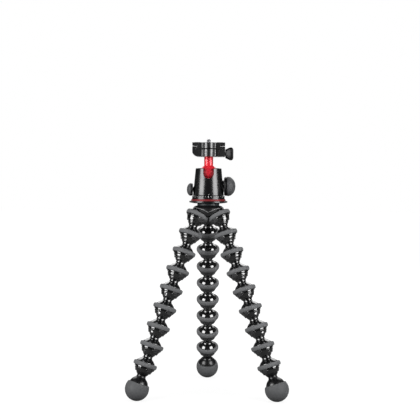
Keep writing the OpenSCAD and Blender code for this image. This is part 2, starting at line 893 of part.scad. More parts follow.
// Camera plate with its dovetail.
module camera_plate() {
    color("#1c1c1e")
        difference() {
            union() {
                translate([0, axis_y, top_z])
                    linear_extrude(plate_t)
                        lobed_outline(-half_w, half_w);
                translate([0, axis_y + half_depth, 0])
                    rotate([90, 0, 0])
                        linear_extrude(clamp_depth)
                            polygon([
                                [-dovetail_half, plate_z],
                                [-dovetail_half, edge_z],
                                [-plate_neck_half, slope_z],
                                [-plate_neck_half, top_z + over],
                                [plate_neck_half, top_z + over],
                                [plate_neck_half, slope_z],
                                [dovetail_half, edge_z],
                                [dovetail_half, plate_z],
                            ]);
                for (side = [-1, 1])
                    translate([0, axis_y + side * (half_depth + lobe_reach - lobe_r), plate_z + lobe_gap])
                        cylinder(r = lobe_r, h = top_z - plate_z - lobe_gap + over);
            }
            translate([0, axis_y, plate_z - over])
                cylinder(r = recess_r, h = recess_top - plate_z + over);
            translate([0, axis_y, plate_z])
                cylinder(d = camera_screw_d + 2 * run_gap, h = far);
            translate([0, axis_y, plate_top - pad_in])
                linear_extrude(pad_in + over)
                    for (side = [-1, 1])
                        pad_outline(side, fit_gap);
        }
}

// Rubber pads that the camera rests on.
module plate_pads() {
    color("#2c2c2e")
        translate([0, axis_y, plate_top - pad_in])
            linear_extrude(pad_in + pad_out)
                for (side = [-1, 1])
                    pad_outline(side, 0);
}

// Screw that holds the camera.
module camera_screw() {
    color("silver")
        translate([0, axis_y, screw_head_z])
            difference() {
                union() {
                    cylinder(d = camera_screw_head_d, h = camera_screw_head_h);
                    cylinder(d = camera_neck_d, h = plate_top - screw_head_z);
                    translate([0, 0, plate_top - screw_head_z])
                        cylinder(d = camera_screw_d, h = camera_screw_out);
                }
                translate([-coin_slot_w / 2, -camera_screw_head_d, -over])
                    cube([coin_slot_w, 2 * camera_screw_head_d, camera_screw_head_h / 2 + over]);
            }
}

for (leg = [0 : 2]) {
    for (i = [1 : LINKS])
        leg_link(leg, i);
    foot_ball(leg);
    foot_pad(leg);
}
crown_body();
crown_rings();
crown_disc();
head_screw();
pan_base();
trim_ring();
scale_ring();
snap_ring();
housing();
seat_cup();
ball_stem();
lock_shaft();
lock_knob();
pan_shaft();
pan_shoe();
pan_knob();
clamp_body();
clamp_bolt();
guide_pins();
clamp_jaw();
clamp_screw();
clamp_knob();
camera_plate();
plate_pads();
camera_screw();
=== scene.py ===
"""Looks of a flexible leg tripod with a ball head: surfaces, finishes, studio and camera."""
import json
import logging
import math
from dataclasses import dataclass
from enum import Enum
from typing import Dict, List, Optional, Sequence, Tuple, Union

import bmesh
import bpy
import numpy as np
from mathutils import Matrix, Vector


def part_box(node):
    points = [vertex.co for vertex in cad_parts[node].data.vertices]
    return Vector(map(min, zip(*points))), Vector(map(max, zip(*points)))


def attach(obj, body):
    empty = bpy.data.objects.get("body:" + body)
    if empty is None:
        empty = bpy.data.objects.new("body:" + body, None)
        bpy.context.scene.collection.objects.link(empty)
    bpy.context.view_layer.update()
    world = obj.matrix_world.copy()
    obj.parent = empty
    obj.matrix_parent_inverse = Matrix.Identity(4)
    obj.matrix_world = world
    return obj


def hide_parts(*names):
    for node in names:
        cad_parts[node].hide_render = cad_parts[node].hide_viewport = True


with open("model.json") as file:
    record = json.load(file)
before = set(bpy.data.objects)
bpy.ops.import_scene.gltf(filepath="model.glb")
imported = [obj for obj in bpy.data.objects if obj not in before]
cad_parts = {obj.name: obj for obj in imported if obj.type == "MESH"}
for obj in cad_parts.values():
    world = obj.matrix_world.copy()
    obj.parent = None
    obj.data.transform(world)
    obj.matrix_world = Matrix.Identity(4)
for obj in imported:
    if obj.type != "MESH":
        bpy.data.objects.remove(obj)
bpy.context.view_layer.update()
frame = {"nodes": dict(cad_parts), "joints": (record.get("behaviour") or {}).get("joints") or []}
LOG = logging.getLogger("tripod")
MM = 0.001
UP = np.array([0.0, 0.0, 1.0])
LEGS = ("left", "right", "rear")
LINKS = 8
SHARP = 38.0  # angle in degrees past which an edge is sharp
FLAT = 0.6  # angle in degrees under which the faces of a copied solid become one
WELD = 1e-6  # distance in metres within which points are merged
Colour = Tuple[float, float, float]
Node = bpy.types.Node
Socket = bpy.types.NodeSocket
Tree = bpy.types.NodeTree
Inputs = Dict[Union[str, int], Union[float, Tuple[float, ...], Socket]]


@dataclass(frozen=True)
class Place:
    """A frame on the part: an origin in millimetres and three unit axes, kept as columns."""

    origin: np.ndarray
    axes: np.ndarray

    @classmethod
    def along(cls, origin: np.ndarray, direction: np.ndarray, side: np.ndarray) -> "Place":
        """Makes the frame whose third axis runs along a direction.

        Args:
            origin: The frame's origin.
            direction: The way of the third axis.
            side: A way that the first axis leans towards.

        Returns:
            The frame, right-handed.
        """
        third = direction / np.linalg.norm(direction)
        first = side - third * (side @ third)
        first = first / np.linalg.norm(first)
        return cls(np.asarray(origin, float), np.stack([first, np.cross(third, first), third], axis=1))

    @classmethod
    def upright(cls, x: float, y: float, z: float) -> "Place":
        """The part's own axes at a point."""
        return cls(np.array([x, y, z], float), np.eye(3))

    def moved(self, distance: float) -> "Place":
        """The same frame, moved along its third axis."""
        return Place(self.origin + self.axes[:, 2] * distance, self.axes)

    def to_part(self, points: np.ndarray) -> np.ndarray:
        """The points of this frame in the part's frame."""
        return points @ self.axes.T + self.origin


@dataclass(frozen=True)
class Surface:
    """Points in millimetres and the four-cornered faces between them."""

    points: np.ndarray
    faces: np.ndarray

    def at(self, place: Place) -> "Surface":
        """The surface carried from a frame of its own into the part's frame."""
        return Surface(place.to_part(self.points), self.faces)


def grid(points: np.ndarray, loop_rows: bool = False) -> Surface:
    """Joins a grid of points by faces between neighbouring rows and columns, the last column to the first.

    Args:
        points: Rows by columns by three coordinates.
        loop_rows: Whether the last row joins the first as well.

    Returns:
        The surface over the grid.
    """
    rows, columns = points.shape[:2]
    index = np.arange(rows * columns).reshape(rows, columns)
    index = np.vstack([index, index[:1]]) if loop_rows else index
    index = np.hstack([index, index[:, :1]])
    corners = (index[:-1, :-1], index[:-1, 1:], index[1:, 1:], index[1:, :-1])
    return Surface(points.reshape(-1, 3), np.stack(corners, axis=-1).reshape(-1, 4))


def capped(points: np.ndarray) -> Surface:
    """Joins a grid of points, and closes its first and last rows at their middles."""
    ends = np.repeat(points[[0, -1]].mean(axis=1, keepdims=True), points.shape[1], axis=1)
    return grid(np.concatenate([ends[:1], points, ends[1:]]))


def around(radius: np.ndarray, angle: np.ndarray, height: np.ndarray) -> np.ndarray:
    """Points about the third axis, on the grid that the three span: x = r cos a, y = r sin a, z = height."""
    return np.stack(np.broadcast_arrays(radius * np.cos(angle), radius * np.sin(angle), height), axis=-1)


def full_turn(steps: int) -> np.ndarray:
    """Angles of a full turn in radians, as one row."""
    return np.linspace(0, 2 * np.pi, steps, endpoint=False)[None, :]


def revolve(profile: np.ndarray, steps: int = 96, loop: bool = False) -> Surface:
    """Turns a profile about the third axis.

    Args:
        profile: Pairs of radius and height.
        steps: Steps of a full turn.
        loop: Whether the profile closes on itself, as a ring's section does.

    Returns:
        The surface of revolution.
    """
    return grid(around(profile[:, :1], full_turn(steps), profile[:, 1:]), loop_rows=loop)


def prism(outline: np.ndarray, low: float, high: float) -> Surface:
    """Carries a closed outline straight up between two heights and closes both ends."""
    rows = [np.column_stack([outline, np.full(len(outline), level)]) for level in (low, high)]
    return capped(np.stack(rows))


def arc(middle: Tuple[float, float], radius: float, start: float, end: float, samples: int) -> np.ndarray:
    """Points of a circle in the plane of radius and height.

    Args:
        middle: The circle's centre.
        radius: The circle's radius.
        start: First angle in degrees, from the way in which the radius grows.
        end: Last angle in degrees.
        samples: How many points.

    Returns:
        Pairs of radius and height, evenly spaced in angle.
    """
    angle = np.radians(np.linspace(start, end, samples))
    return np.stack([middle[0] + radius * np.cos(angle), middle[1] + radius * np.sin(angle)], axis=1)


def rounded(corners: Sequence[Sequence[float]], trims: Sequence[float], samples: int = 5,
            loop: bool = False) -> np.ndarray:
    """Rounds the corners of a broken line by conic arcs of weight cos(half the turn), which are circular.

    Args:
        corners: The line's corners.
        trims: Length that each corner gives up on both its sides.
        samples: Points on each arc.
        loop: Whether the line closes on itself.

    Returns:
        The points of the rounded line.
    """
    corner = np.asarray(corners, float)
    before, after = np.roll(corner, 1, axis=0), np.roll(corner, -1, axis=0)
    if not loop:
        before[0], after[-1] = corner[0], corner[-1]
    size = np.asarray(trims, float)[:, None]

    def ends(other: np.ndarray) -> Tuple[np.ndarray, np.ndarray]:
        """Where the arc starts towards another corner, and the way there."""
        step = other - corner
        length = np.maximum(np.linalg.norm(step, axis=1, keepdims=True), 1e-9)
        return corner + step / length * np.minimum(size, 0.49 * length), step / length

    first, way_in = ends(before)
    last, way_out = ends(after)
    cosine = np.clip(-(way_in * way_out).sum(axis=1), -1, 1)
    weight = np.sqrt((1 + cosine) / 2)[:, None, None]
    share = np.linspace(0, 1, samples)[None, :, None]
    parts = ((1 - share) ** 2, 2 * share * (1 - share) * weight, share ** 2)
    curve = parts[0] * first[:, None] + parts[1] * corner[:, None] + parts[2] * last[:, None]
    return (curve / sum(parts)).reshape(-1, corner.shape[1])


def node_box(node: str) -> Tuple[np.ndarray, np.ndarray]:
    """A solid's lowest and highest corner at rest, in millimetres."""
    low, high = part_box(node)
    return np.array(low) / MM, np.array(high) / MM


def joint_point(name: str) -> np.ndarray:
    """A joint's place in millimetres."""
    return next(np.array(joint["pos_m"]) for joint in frame["joints"] if joint["name"] == name) / MM


def leg_balls(leg: str) -> np.ndarray:
    """Centres of a leg's balls from the crown down, in millimetres, read from the leg's joints."""
    places = [joint["pos_m"] for joint in frame["joints"] if joint["name"].startswith(f"{leg}_s")]
    return np.array(places) / MM


def feed(tree: Tree, node: Node, inputs: Inputs) -> None:
    """Links a node's inputs to sockets, or sets them to values, by name or number."""
    for name, value in inputs.items():
        if isinstance(value, Socket):
            tree.links.new(value, node.inputs[name])
        else:
            node.inputs[name].default_value = value


def add_node(tree: Tree, kind: str, inputs: Optional[Inputs] = None, **settings: object) -> Node:
    """Adds a shader node.

    Args:
        tree: The node tree.
        kind: The node's type, without the beginning that all types share.
        inputs: What its inputs are linked or set to.
        settings: Its own properties.

    Returns:
        The node.
    """
    node = tree.nodes.new(f"ShaderNode{kind}")
    for name, value in settings.items():
        setattr(node, name, value)
    feed(tree, node, inputs or {})
    return node


class Pattern(Enum):
    """The fine relief that a finish has."""

    MOULDED = "moulded_grain"
    PEBBLED = "pebbled_grain"
    TURNED = "turned_lines"


class Effects:
    """Shader node groups that several finishes share, each built once."""

    def __init__(self) -> None:
        """Starts with no group built."""
        self.groups: Dict[str, Tree] = {}

    def start(self, name: str, scale: float, outputs: Sequence[str]) -> Tree:
        """Makes an empty group with one input, Scale.

        Args:
            name: The group's name.
            scale: Default of the input.
            outputs: Names of the outputs.

        Returns:
            The group's node tree with its two end nodes.
        """
        tree = bpy.data.node_groups.new(name, "ShaderNodeTree")
        for label, way in [("Scale", "INPUT")] + [(label, "OUTPUT") for label in outputs]:
            socket = tree.interface.new_socket(name=label, in_out=way, socket_type="NodeSocketFloat")
            if way == "INPUT":
                socket.default_value = scale
        tree.nodes.new("NodeGroupInput")
        tree.nodes.new("NodeGroupOutput")
        self.groups[name] = tree
        return tree

    @staticmethod
    def noise(tree: Tree, detail: float, factor: float = 1.0) -> Socket:
        """Adds noise on the piece's own coordinates.

        Args:
            tree: The group's node tree.
            detail: Octaves of the noise.
            factor: What the group's scale is multiplied by.

        Returns:
            The socket with the noise from 0 to 1.
        """
        spot = add_node(tree, "TexCoord").outputs["Object"]
        scale = tree.nodes["Group Input"].outputs["Scale"]
        times = add_node(tree, "Math", {0: scale, 1: factor}, operation="MULTIPLY").outputs[0]
        return add_node(tree, "TexNoise", {"Vector": spot, "Scale": times, "Detail": detail}).outputs["Fac"]

    def relief(self, pattern: Pattern) -> Tree:
        """The group for a pattern: Scale in, Height and Tone out.

        Moulded grain is noise, pebbled grain rounded cells, and turned lines noise along the height alone.

        Args:
            pattern: Which relief.

        Returns:
            The group's node tree.
        """
        if pattern.value in self.groups:
            return self.groups[pattern.value]
        tree = self.start(pattern.value, 800.0, ("Height", "Tone"))
        scale = tree.nodes["Group Input"].outputs["Scale"]
        if pattern is Pattern.MOULDED:
            height = self.noise(tree, 2.0)
        elif pattern is Pattern.PEBBLED:
            spot = add_node(tree, "TexCoord").outputs["Object"]
            cells = add_node(tree, "TexVoronoi", {"Vector": spot, "Scale": scale}, feature="SMOOTH_F1")
            height = cells.outputs["Distance"]
        else:
            apart = add_node(tree, "SeparateXYZ", {0: add_node(tree, "TexCoord").outputs["Object"]})
            lines = add_node(tree, "TexNoise", noise_dimensions="1D")
            feed(tree, lines, {"W": apart.outputs["Z"], "Scale": scale, "Detail": 3.0})
            height = lines.outputs["Fac"]
        feed(tree, tree.nodes["Group Output"], {"Height": height, "Tone": self.noise(tree, 5.0, 0.11)})
        return tree

    def handling(self) -> Tree:
        """The group for marks of handling: Scale in, Mask out, from broad noise with its middle stretched.

        Returns:
            The group's node tree.
        """
        name = "handling_marks"
        if name in self.groups:
            return self.groups[name]
        tree = self.start(name, 60.0, ("Mask",))
        broad = self.noise(tree, 6.0)
        spread = add_node(tree, "MapRange", {"Value": broad, "From Min": 0.38, "From Max": 0.68})
        feed(tree, tree.nodes["Group Output"], {"Mask": spread.outputs["Result"]})
        return tree


EFFECTS = Effects()


@dataclass(frozen=True)
class Finish:
    """A finish: its colour and gloss, its fine relief, and the marks that handling leaves."""

    name: str
    colour: Colour
    roughness: float
    metallic: float = 0.0
    specular: float = 0.5
    coat: float = 0.0
    coat_roughness: float = 0.08
    pattern: Pattern = Pattern.MOULDED
    scale: float = 900.0
    relief: float = 0.04
    relief_depth: float = 0.0002
    tone: float = 1.25
    marks: float = 0.06
    mark_scale: float = 55.0

    def material(self) -> bpy.types.Material:
        """Builds the finish's material once.

        Returns:
            The material, with colour, roughness and normal from its nodes.
        """
        found = bpy.data.materials.get(self.name)
        if found:
            return found
        made = bpy.data.materials.new(self.name)
        made.use_nodes = True
        tree = made.node_tree
        grain = add_node(tree, "Group", node_tree=EFFECTS.relief(self.pattern))
        feed(tree, grain, {"Scale": self.scale})
        marks = add_node(tree, "Group", node_tree=EFFECTS.handling())
        feed(tree, marks, {"Scale": self.mark_scale})
        dark = (*(part / self.tone for part in self.colour), 1)
        light = (*(min(part * self.tone, 1) for part in self.colour), 1)
        blend = add_node(tree, "Mix", data_type="RGBA")
        feed(tree, blend, {"A": dark, "B": light, "Factor": grain.outputs["Tone"]})
        gloss = add_node(tree, "MapRange", {"Value": marks.outputs["Mask"], "To Min": self.roughness,
                                            "To Max": self.roughness + self.marks})
        bump = add_node(tree, "Bump", {"Strength": self.relief, "Distance": self.relief_depth,
                                       "Height": grain.outputs["Height"]})
        feed(tree, tree.nodes["Principled BSDF"], {
            "Metallic": self.metallic, "Specular IOR Level": self.specular, "Coat Weight": self.coat,
            "Coat Roughness": self.coat_roughness, "Base Color": blend.outputs["Result"],
            "Roughness": gloss.outputs["Result"], "Normal": bump.outputs["Normal"]})
        return made


LINK_SHELL = Finish("link_shell_gloss", (0.003, 0.003, 0.0034), 0.09, specular=0.9, coat=1.0,
                    coat_roughness=0.03, scale=500.0, relief=0.02)
RING_RUBBER = Finish("ring_rubber_matte", (0.122, 0.124, 0.128), 0.6, specular=0.3, pattern=Pattern.PEBBLED,
                     scale=2600.0, relief=0.25, tone=1.15, marks=0.14)
# The apron is the rings' rubber coloured darker: painted shade for its side that faces down and inwards.
APRON_RUBBER_SHADED = Finish("apron_rubber_dark", (0.045, 0.045, 0.047), 0.5, specular=0.35, pattern=Pattern.PEBBLED,
                      scale=2600.0, relief=0.2, tone=1.15, marks=0.12)
FOOT_RUBBER = Finish("foot_rubber_matte", (0.088, 0.09, 0.093), 0.6, specular=0.3, pattern=Pattern.PEBBLED,
                     scale=2400.0, relief=0.25, tone=1.15, marks=0.14)
CROWN_PAINT = Finish("crown_gloss_coat", (0.004, 0.004, 0.0045), 0.34, specular=0.5, pattern=Pattern.PEBBLED,
                     scale=1400.0, relief=0.05)
# Light grey of the bead on the crown cap's rim: a painted highlight along that edge.
RIM_HIGHLIGHT_GREY = Finish("worn_edge_grey", (0.26, 0.26, 0.26), 0.35, scale=1200.0)
CAP_SATIN = Finish("foot_cap_satin", (0.004, 0.004, 0.0045), 0.26, specular=0.5, scale=500.0, relief=0.03)
CORE_BLACK = Finish("core_black_matte", (0.004, 0.004, 0.0045), 0.5, specular=0.25)
DISC_PAINT = Finish("disc_matte_coat", (0.012, 0.017, 0.02), 0.42, pattern=Pattern.TURNED, scale=3000.0,
                    relief=0.08)
BASE_BLACK = Finish("base_black_anodised", (0.005, 0.005, 0.0055), 0.2, pattern=Pattern.TURNED, scale=3500.0,
                    relief=0.08)
TRIM_RED = Finish("trim_red_anodised", (0.2, 0.016, 0.02), 0.4, metallic=0.3, pattern=Pattern.TURNED,
                  scale=3500.0, relief=0.08, tone=1.06)
HOUSING_BLACK = Finish("housing_black_anodised", (0.0025, 0.0025, 0.0028), 0.21, specular=0.75,
                       pattern=Pattern.TURNED, scale=3200.0, relief=0.03, relief_depth=0.00003)
BALL_RED = Finish("ball_red_polished", (0.8, 0.024, 0.042), 0.3, metallic=0.25, coat=0.4, coat_roughness=0.2,
                  pattern=Pattern.TURNED, scale=3500.0, relief=0.03, relief_depth=0.00001, tone=1.06)
KNOB_HUB = Finish("knob_hub_black", (0.004, 0.004, 0.0045), 0.32, specular=0.2)
KNOB_GRIP = Finish("knob_grip_rubber", (0.058, 0.059, 0.062), 0.5, specular=0.4, pattern=Pattern.PEBBLED,
                   scale=2600.0, relief=0.2, marks=0.12)
CLAMP_BLACK = Finish("clamp_black_anodised", (0.006, 0.006, 0.0064), 0.28, specular=1.0,
                     pattern=Pattern.PEBBLED, scale=3000.0, relief=0.06, relief_depth=0.00006)
PAD_RUBBER = Finish("pad_rubber_black", (0.025, 0.025, 0.027), 0.65, specular=0.3, pattern=Pattern.PEBBLED,
                    scale=2600.0, relief=0.2)
STEEL = Finish("turned_steel", (0.42, 0.42, 0.43), 0.3, metallic=1.0, pattern=Pattern.TURNED, scale=3500.0,
               relief=0.08, tone=1.08)
BRASS = Finish("turned_brass", (0.6, 0.43, 0.18), 0.28, metallic=1.0, pattern=Pattern.TURNED, scale=3500.0,
               relief=0.08, tone=1.08)
CUP_PLASTIC = Finish("cup_natural_plastic", (0.62, 0.59, 0.5), 0.4, scale=700.0, tone=1.06)
MARK_WHITE = Finish("scale_print_white", (0.55, 0.55, 0.54), 0.45, specular=0.4, scale=1200.0, tone=1.04)


class Piece:
    """A finished mesh object that rides on a body of the part."""

    def __init__(self, name: str, surfaces: Sequence[Surface], finish: Finish, sharp: float = SHARP) -> None:
        """Welds surfaces into one mesh, turns its faces outwards and shades it.

        Args:
            name: The piece's name.
            surfaces: The surfaces, in millimetres.
            finish: What it is finished in.
            sharp: Angle in degrees past which an edge is sharp.
        """
        starts = np.cumsum([0] + [len(surface.points) for surface in surfaces[:-1]])
        points = np.concatenate([surface.points for surface in surfaces]) * MM
        faces = np.concatenate([surface.faces + start for surface, start in zip(surfaces, starts)])
        mesh = bpy.data.meshes.new(name)
        mesh.from_pydata(points.tolist(), [], faces.tolist())
        self.object = bpy.data.objects.new(name, mesh)
        bpy.context.scene.collection.objects.link(self.object)
        self.finish(finish, sharp)

    @classmethod
    def copy_of(cls, node: str, name: str, finish: Finish, edge: float) -> "Piece":
        """Makes a merged copy of a solid with its edges broken.

        Args:
            node: The solid's node.
            name: The piece's name.
            finish: What it is finished in.
            edge: Width of the broken edges in millimetres.

        Returns:
            The piece.
        """
        piece = cls.__new__(cls)
        piece.object = bpy.data.objects.new(name, frame["nodes"][node].data.copy())
        bpy.context.scene.collection.objects.link(piece.object)
        piece.finish(finish, SHARP, FLAT)
        return piece.break_edges(edge)

    def finish(self, finish: Finish, sharp: float, flat: float = 0.0) -> None:
        """Merges the mesh's doubles, points its faces outwards, shades it and gives it its material.

        Args:
            finish: What the piece is finished in.
            sharp: Angle in degrees past which an edge is sharp.
            flat: Angle in degrees under which neighbouring faces become one, or 0 to keep them.
        """
        mesh = self.object.data
        work = bmesh.new()
        work.from_mesh(mesh)
        bmesh.ops.remove_doubles(work, verts=work.verts, dist=WELD)
        if flat:
            bmesh.ops.dissolve_limit(work, angle_limit=math.radians(flat), verts=work.verts, edges=work.edges)
        bmesh.ops.recalc_face_normals(work, faces=work.faces)
        work.to_mesh(mesh)
        work.free()
        mesh.materials.clear()
        mesh.materials.append(finish.material())
        mesh.shade_smooth()
        mesh.set_sharp_from_angle(angle=math.radians(sharp))

    def break_edges(self, width: float, segments: int = 2) -> "Piece":
        """Adds a bevel to the piece's sharp edges."""
        bevel = self.object.modifiers.new("edges", "BEVEL")
        bevel.width = width * MM
        bevel.segments = segments
        bevel.limit_method = "ANGLE"
        bevel.angle_limit = math.radians(SHARP)
        bevel.harden_normals = True
        return self

    def carve(self, cutter: "Piece") -> "Piece":
        """Takes another piece's volume out of this one, and removes that piece.

        Args:
            cutter: The piece that is taken out.

        Returns:
            This piece.
        """
        cut = self.object.modifiers.new("carve", "BOOLEAN")
        cut.operation = "DIFFERENCE"
        cut.solver = "EXACT"
        cut.object = cutter.object
        ready = self.object.evaluated_get(bpy.context.evaluated_depsgraph_get())
        mesh = bpy.data.meshes.new_from_object(ready)
        mesh.name = self.object.name
        self.object.modifiers.clear()
        self.object.data = mesh
        bpy.data.objects.remove(cutter.object)
        mesh.set_sharp_from_angle(angle=math.radians(SHARP))
        return self

    def stand_for(self, body: str, slot: str, *nodes: str) -> "Piece":
        """Puts the piece on a body in place of solids.

        Args:
            body: The body that it rides on.
            slot: The record's material slot; not used.
            nodes: The solids that it replaces.

        Returns:
            This piece.
        """
        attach(self.object, body)
        if nodes:
            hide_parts(*nodes)
        LOG.info("%s rides on %s", self.object.name, body)
        return self


@dataclass
class LinkForm:
    """Shapes of a leg's links, measured down the leg from a ball's centre, in millimetres and degrees."""

    pitch: float = 28.9
    ball_r: float = 10.5
    socket_r: float = 10.6
    neck_r: float = 6.6
    neck_top_round: float = 1.2
    neck_low_round: float = 4.0
    dome_u: float = 25.45
    dome_r: float = 15.45
    groove_r: float = 13.483
    ring_top_u: float = 17.9
    ring_low_u: float = 24.3
    ring_r: float = 17.483
    band_u: float = 26.0
    band_r: float = 14.783
    ledge: float = 0.7
    ledge_h: float = 1.2
    bowl_u: float = 22.2
    bowl_r: float = 14.6
    lip_u: float = 32.7
    lip_r: float = 11.5
    lip_slope: float = 0.35
    fit: float = 0.05
    apron_half: float = 96.0
    apron_lap: float = 0.4
    apron_top_r: float = 16.1
    apron_bow: float = 0.35
    apron_low_u: float = 29.6
    apron_low_r: float = 12.95
    slit_turn: float = 72.0
    slit_half: float = 3.6
    slit_depth: float = 3.0
    slit_sink: float = 0.15
    slot_u: float = 28.5
    slot_half: float = 0.45
    slot_depth: float = 1.0
    slot_side: float = 0.3
    tab_turn: float = 135.0
    tab_half: float = 4.5
    tab_fade: float = 3.0
    tab_rise: float = 1.5
    steps: int = 88

    def ball_and_dome(self, dome_u: float, dome_r: float, edge_r: float) -> np.ndarray:
        """Profile of a ball, a waisted neck and a round dome.

        The ball and the dome are circles on the axis. Two hollow circles touch the neck's line, one also the
        ball and one also the dome, with their centres where the distances are sums of radii.

        Args:
            dome_u: Place of the dome's centre down the leg.
            dome_r: The dome's radius.
            edge_r: Radius of the dome's edge.

        Returns:
            Pairs of radius and place down the leg, from the ball's pole to the dome's edge.
        """
        top, low = self.neck_top_round, self.neck_low_round
        top_u = math.sqrt((self.ball_r + top) ** 2 - (self.neck_r + top) ** 2)
        low_u = dome_u - math.sqrt((dome_r + low) ** 2 - (self.neck_r + low) ** 2)
        ball_end = math.degrees(math.atan2(top_u, self.neck_r + top))
        dome_start = math.degrees(math.atan2(low_u - dome_u, self.neck_r + low))
        dome_end = -math.degrees(math.acos(edge_r / dome_r))
        return np.concatenate([
            arc((0, 0), self.ball_r, -90, ball_end, 22),
            arc((self.neck_r + top, top_u), top, 180 + ball_end, 180, 6)[1:],
            arc((self.neck_r + low, low_u), low, 180, 180 + dome_start, 9),
            arc((0, dome_u), dome_r, dome_start, dome_end, 20)[1:],
        ])

    def shell_r(self, place: np.ndarray) -> np.ndarray:
        """Radius of the shell down the leg: a straight band, then a circle that ends in a cone."""
        bowl = np.sqrt(np.maximum(self.bowl_r ** 2 - (place - self.bowl_u) ** 2, 0))
        cone = self.lip_r + self.lip_slope * (self.lip_u - place)
        return np.where(place < self.band_u, self.band_r, np.maximum(bowl, cone))

    def socket(self) -> np.ndarray:
        """Profile of a socket: band under the groove, ledge, bowl, lip and the hollow that holds a ball.

        Returns:
            Pairs of radius and place down the leg, from the groove's low end to the hollow's pole.
        """
        drop = self.lip_u - self.pitch
        mouth_r = math.sqrt(self.socket_r ** 2 - drop ** 2)
        place = np.linspace(self.band_u + self.ledge_h, self.lip_u - 0.3, 12)
        bowl = np.stack([self.shell_r(place), place], axis=1)
        hollow = arc((0, self.pitch), self.socket_r, math.degrees(math.asin(drop / self.socket_r)), -90, 18)
        samples = 4
        upper = rounded(
            [(self.groove_r, self.ring_top_u), (self.groove_r, self.ring_low_u),
             (self.band_r, self.ring_low_u), (self.band_r, self.band_u),
             (bowl[0, 0] - self.ledge, self.band_u + 0.2), bowl[0], bowl[1]],
            [0, 0.1, 0.3, 0.25, 0.15, 0.2, 0], samples)[samples:]
        lip = rounded([bowl[-2], (self.lip_r, self.lip_u), (mouth_r, self.lip_u), hollow[1]],
                      [0, 0.6, 0.25, 0], samples)
        return np.concatenate([upper, bowl[2:-2], lip, hollow[2:]])

    def shell(self) -> Surface:
        """A link's moulded shell: ball, neck, dome and socket turned about the leg."""
        upper = self.ball_and_dome(self.dome_u, self.dome_r, self.groove_r)
        return revolve(np.concatenate([upper, self.socket()]), self.steps)

    @staticmethod
    def share(edge: np.ndarray, fade: float) -> np.ndarray:
        """1 well inside an edge, 0 outside it, smooth between."""
        level = np.clip(edge / fade + 0.5, 0, 1)
        return level * level * (3 - 2 * level)

    @staticmethod
    def from_inside(off: np.ndarray) -> np.ndarray:
        """Angles about the leg in radians, from angles in degrees off the side that faces the other legs."""
        return np.radians(off) + np.pi

    def ring(self) -> Surface:
        """A rubber ring with two tabs on the dome.

        A plain section and one with a tab have the same number of points. The section at an angle is the
        first plus a share of the difference, which falls smoothly from 1 to 0 across a tab's sides.

        Returns:
            The closed surface.
        """
        seat = self.groove_r + self.fit
        top, low = self.ring_top_u, self.ring_low_u - self.fit
        face = [(self.ring_r - 2.0, top + 0.05), (self.ring_r - 0.35, top + 0.75), (self.ring_r, top + 2.3),
                (self.ring_r, low - 2.0), (self.ring_r - 0.75, low), (seat, low)]
        rim = [(seat, top + 0.45), (seat + 0.3, top + 0.38), (seat + 0.9, top + 0.25)]
        tab_top = top - self.tab_rise
        tab = [(seat - 0.75, tab_top + 0.1), (seat - 0.1, tab_top), (seat + 0.95, top - 0.35)]
        trims = [0.2, 0.15, 0.3, 0.8, 0.8, 0.7, 0.7, 0.5, 0.1]
        plain, raised = (rounded(edge + face, trims, 4, loop=True)[:, None] for edge in (rim, tab))
        turn = np.unique(np.concatenate([np.arange(0, 181, 3.0), self.tab_turn + np.arange(-6, 6.5, 1.0)]))
        off = np.concatenate([turn, -turn[-2:0:-1]])
        inside = self.tab_half - np.abs(np.abs(off) - self.tab_turn)
        section = plain + self.share(inside, self.tab_fade)[None, :, None] * (raised - plain)
        return grid(around(section[..., 0], self.from_inside(off), section[..., 1]), loop_rows=True)

    def apron(self) -> Surface:
        """The rubber apron under a ring, on the bowl's inner side.

        Its outer side is a straight line with a bow and a slot, its inner side follows the shell, and both
        are carried between two angles. The outer side is let in along two slits, down to the shell.

        Returns:
            The closed surface.
        """
        top, low = self.ring_low_u - self.apron_lap, self.apron_low_u
        slot_top, slot_low = self.slot_u - self.slot_half, self.slot_u + self.slot_half
        side_u = np.array([top, self.ring_low_u + 2.0, slot_top - self.slot_side, slot_top, slot_low,
                           slot_low + self.slot_side, low - 0.25, low])
        side_r = self.apron_top_r + (self.apron_low_r - self.apron_top_r) * (side_u - top) / (low - top)
        bow, deep = self.apron_bow, -self.slot_depth
        side_r += np.array([0, bow, 0.5 * bow, deep, deep, 0.1, 0, -0.1])
        under = np.linspace(low - 0.1, top, 6)
        corners = list(zip(side_r, side_u)) + list(zip(self.shell_r(under) + self.fit, under))
        trims = [0.05, 0.9, 0.12, 0.1, 0.1, 0.12, 0.15, 0.1] + [0.05] * len(under)
        samples = 3
        section = rounded(corners, trims, samples, loop=True)
        edges = self.slit_turn + np.array([-1, 1]) * self.slit_half
        fine = (edges[:, None] + np.arange(-3, 3.1, 0.5)[None]).ravel()
        turn = np.unique(np.round(np.concatenate([np.arange(0, self.apron_half + 1, 3.0), fine]), 2))
        off = np.concatenate([-turn[:0:-1], turn])[:, None]
        slit = self.slit_depth * self.share(self.slit_half - np.abs(np.abs(off) - self.slit_turn), 1.5)
        radius, place = section[None, :, 0], section[None, :, 1]
        number = np.arange(len(section))[None]
        outer = (number >= samples) & (number < samples * len(side_u))
        floor = np.minimum(radius, self.shell_r(place) - self.slit_sink)
        return capped(around(np.maximum(radius - slit * outer, floor), self.from_inside(off), place))


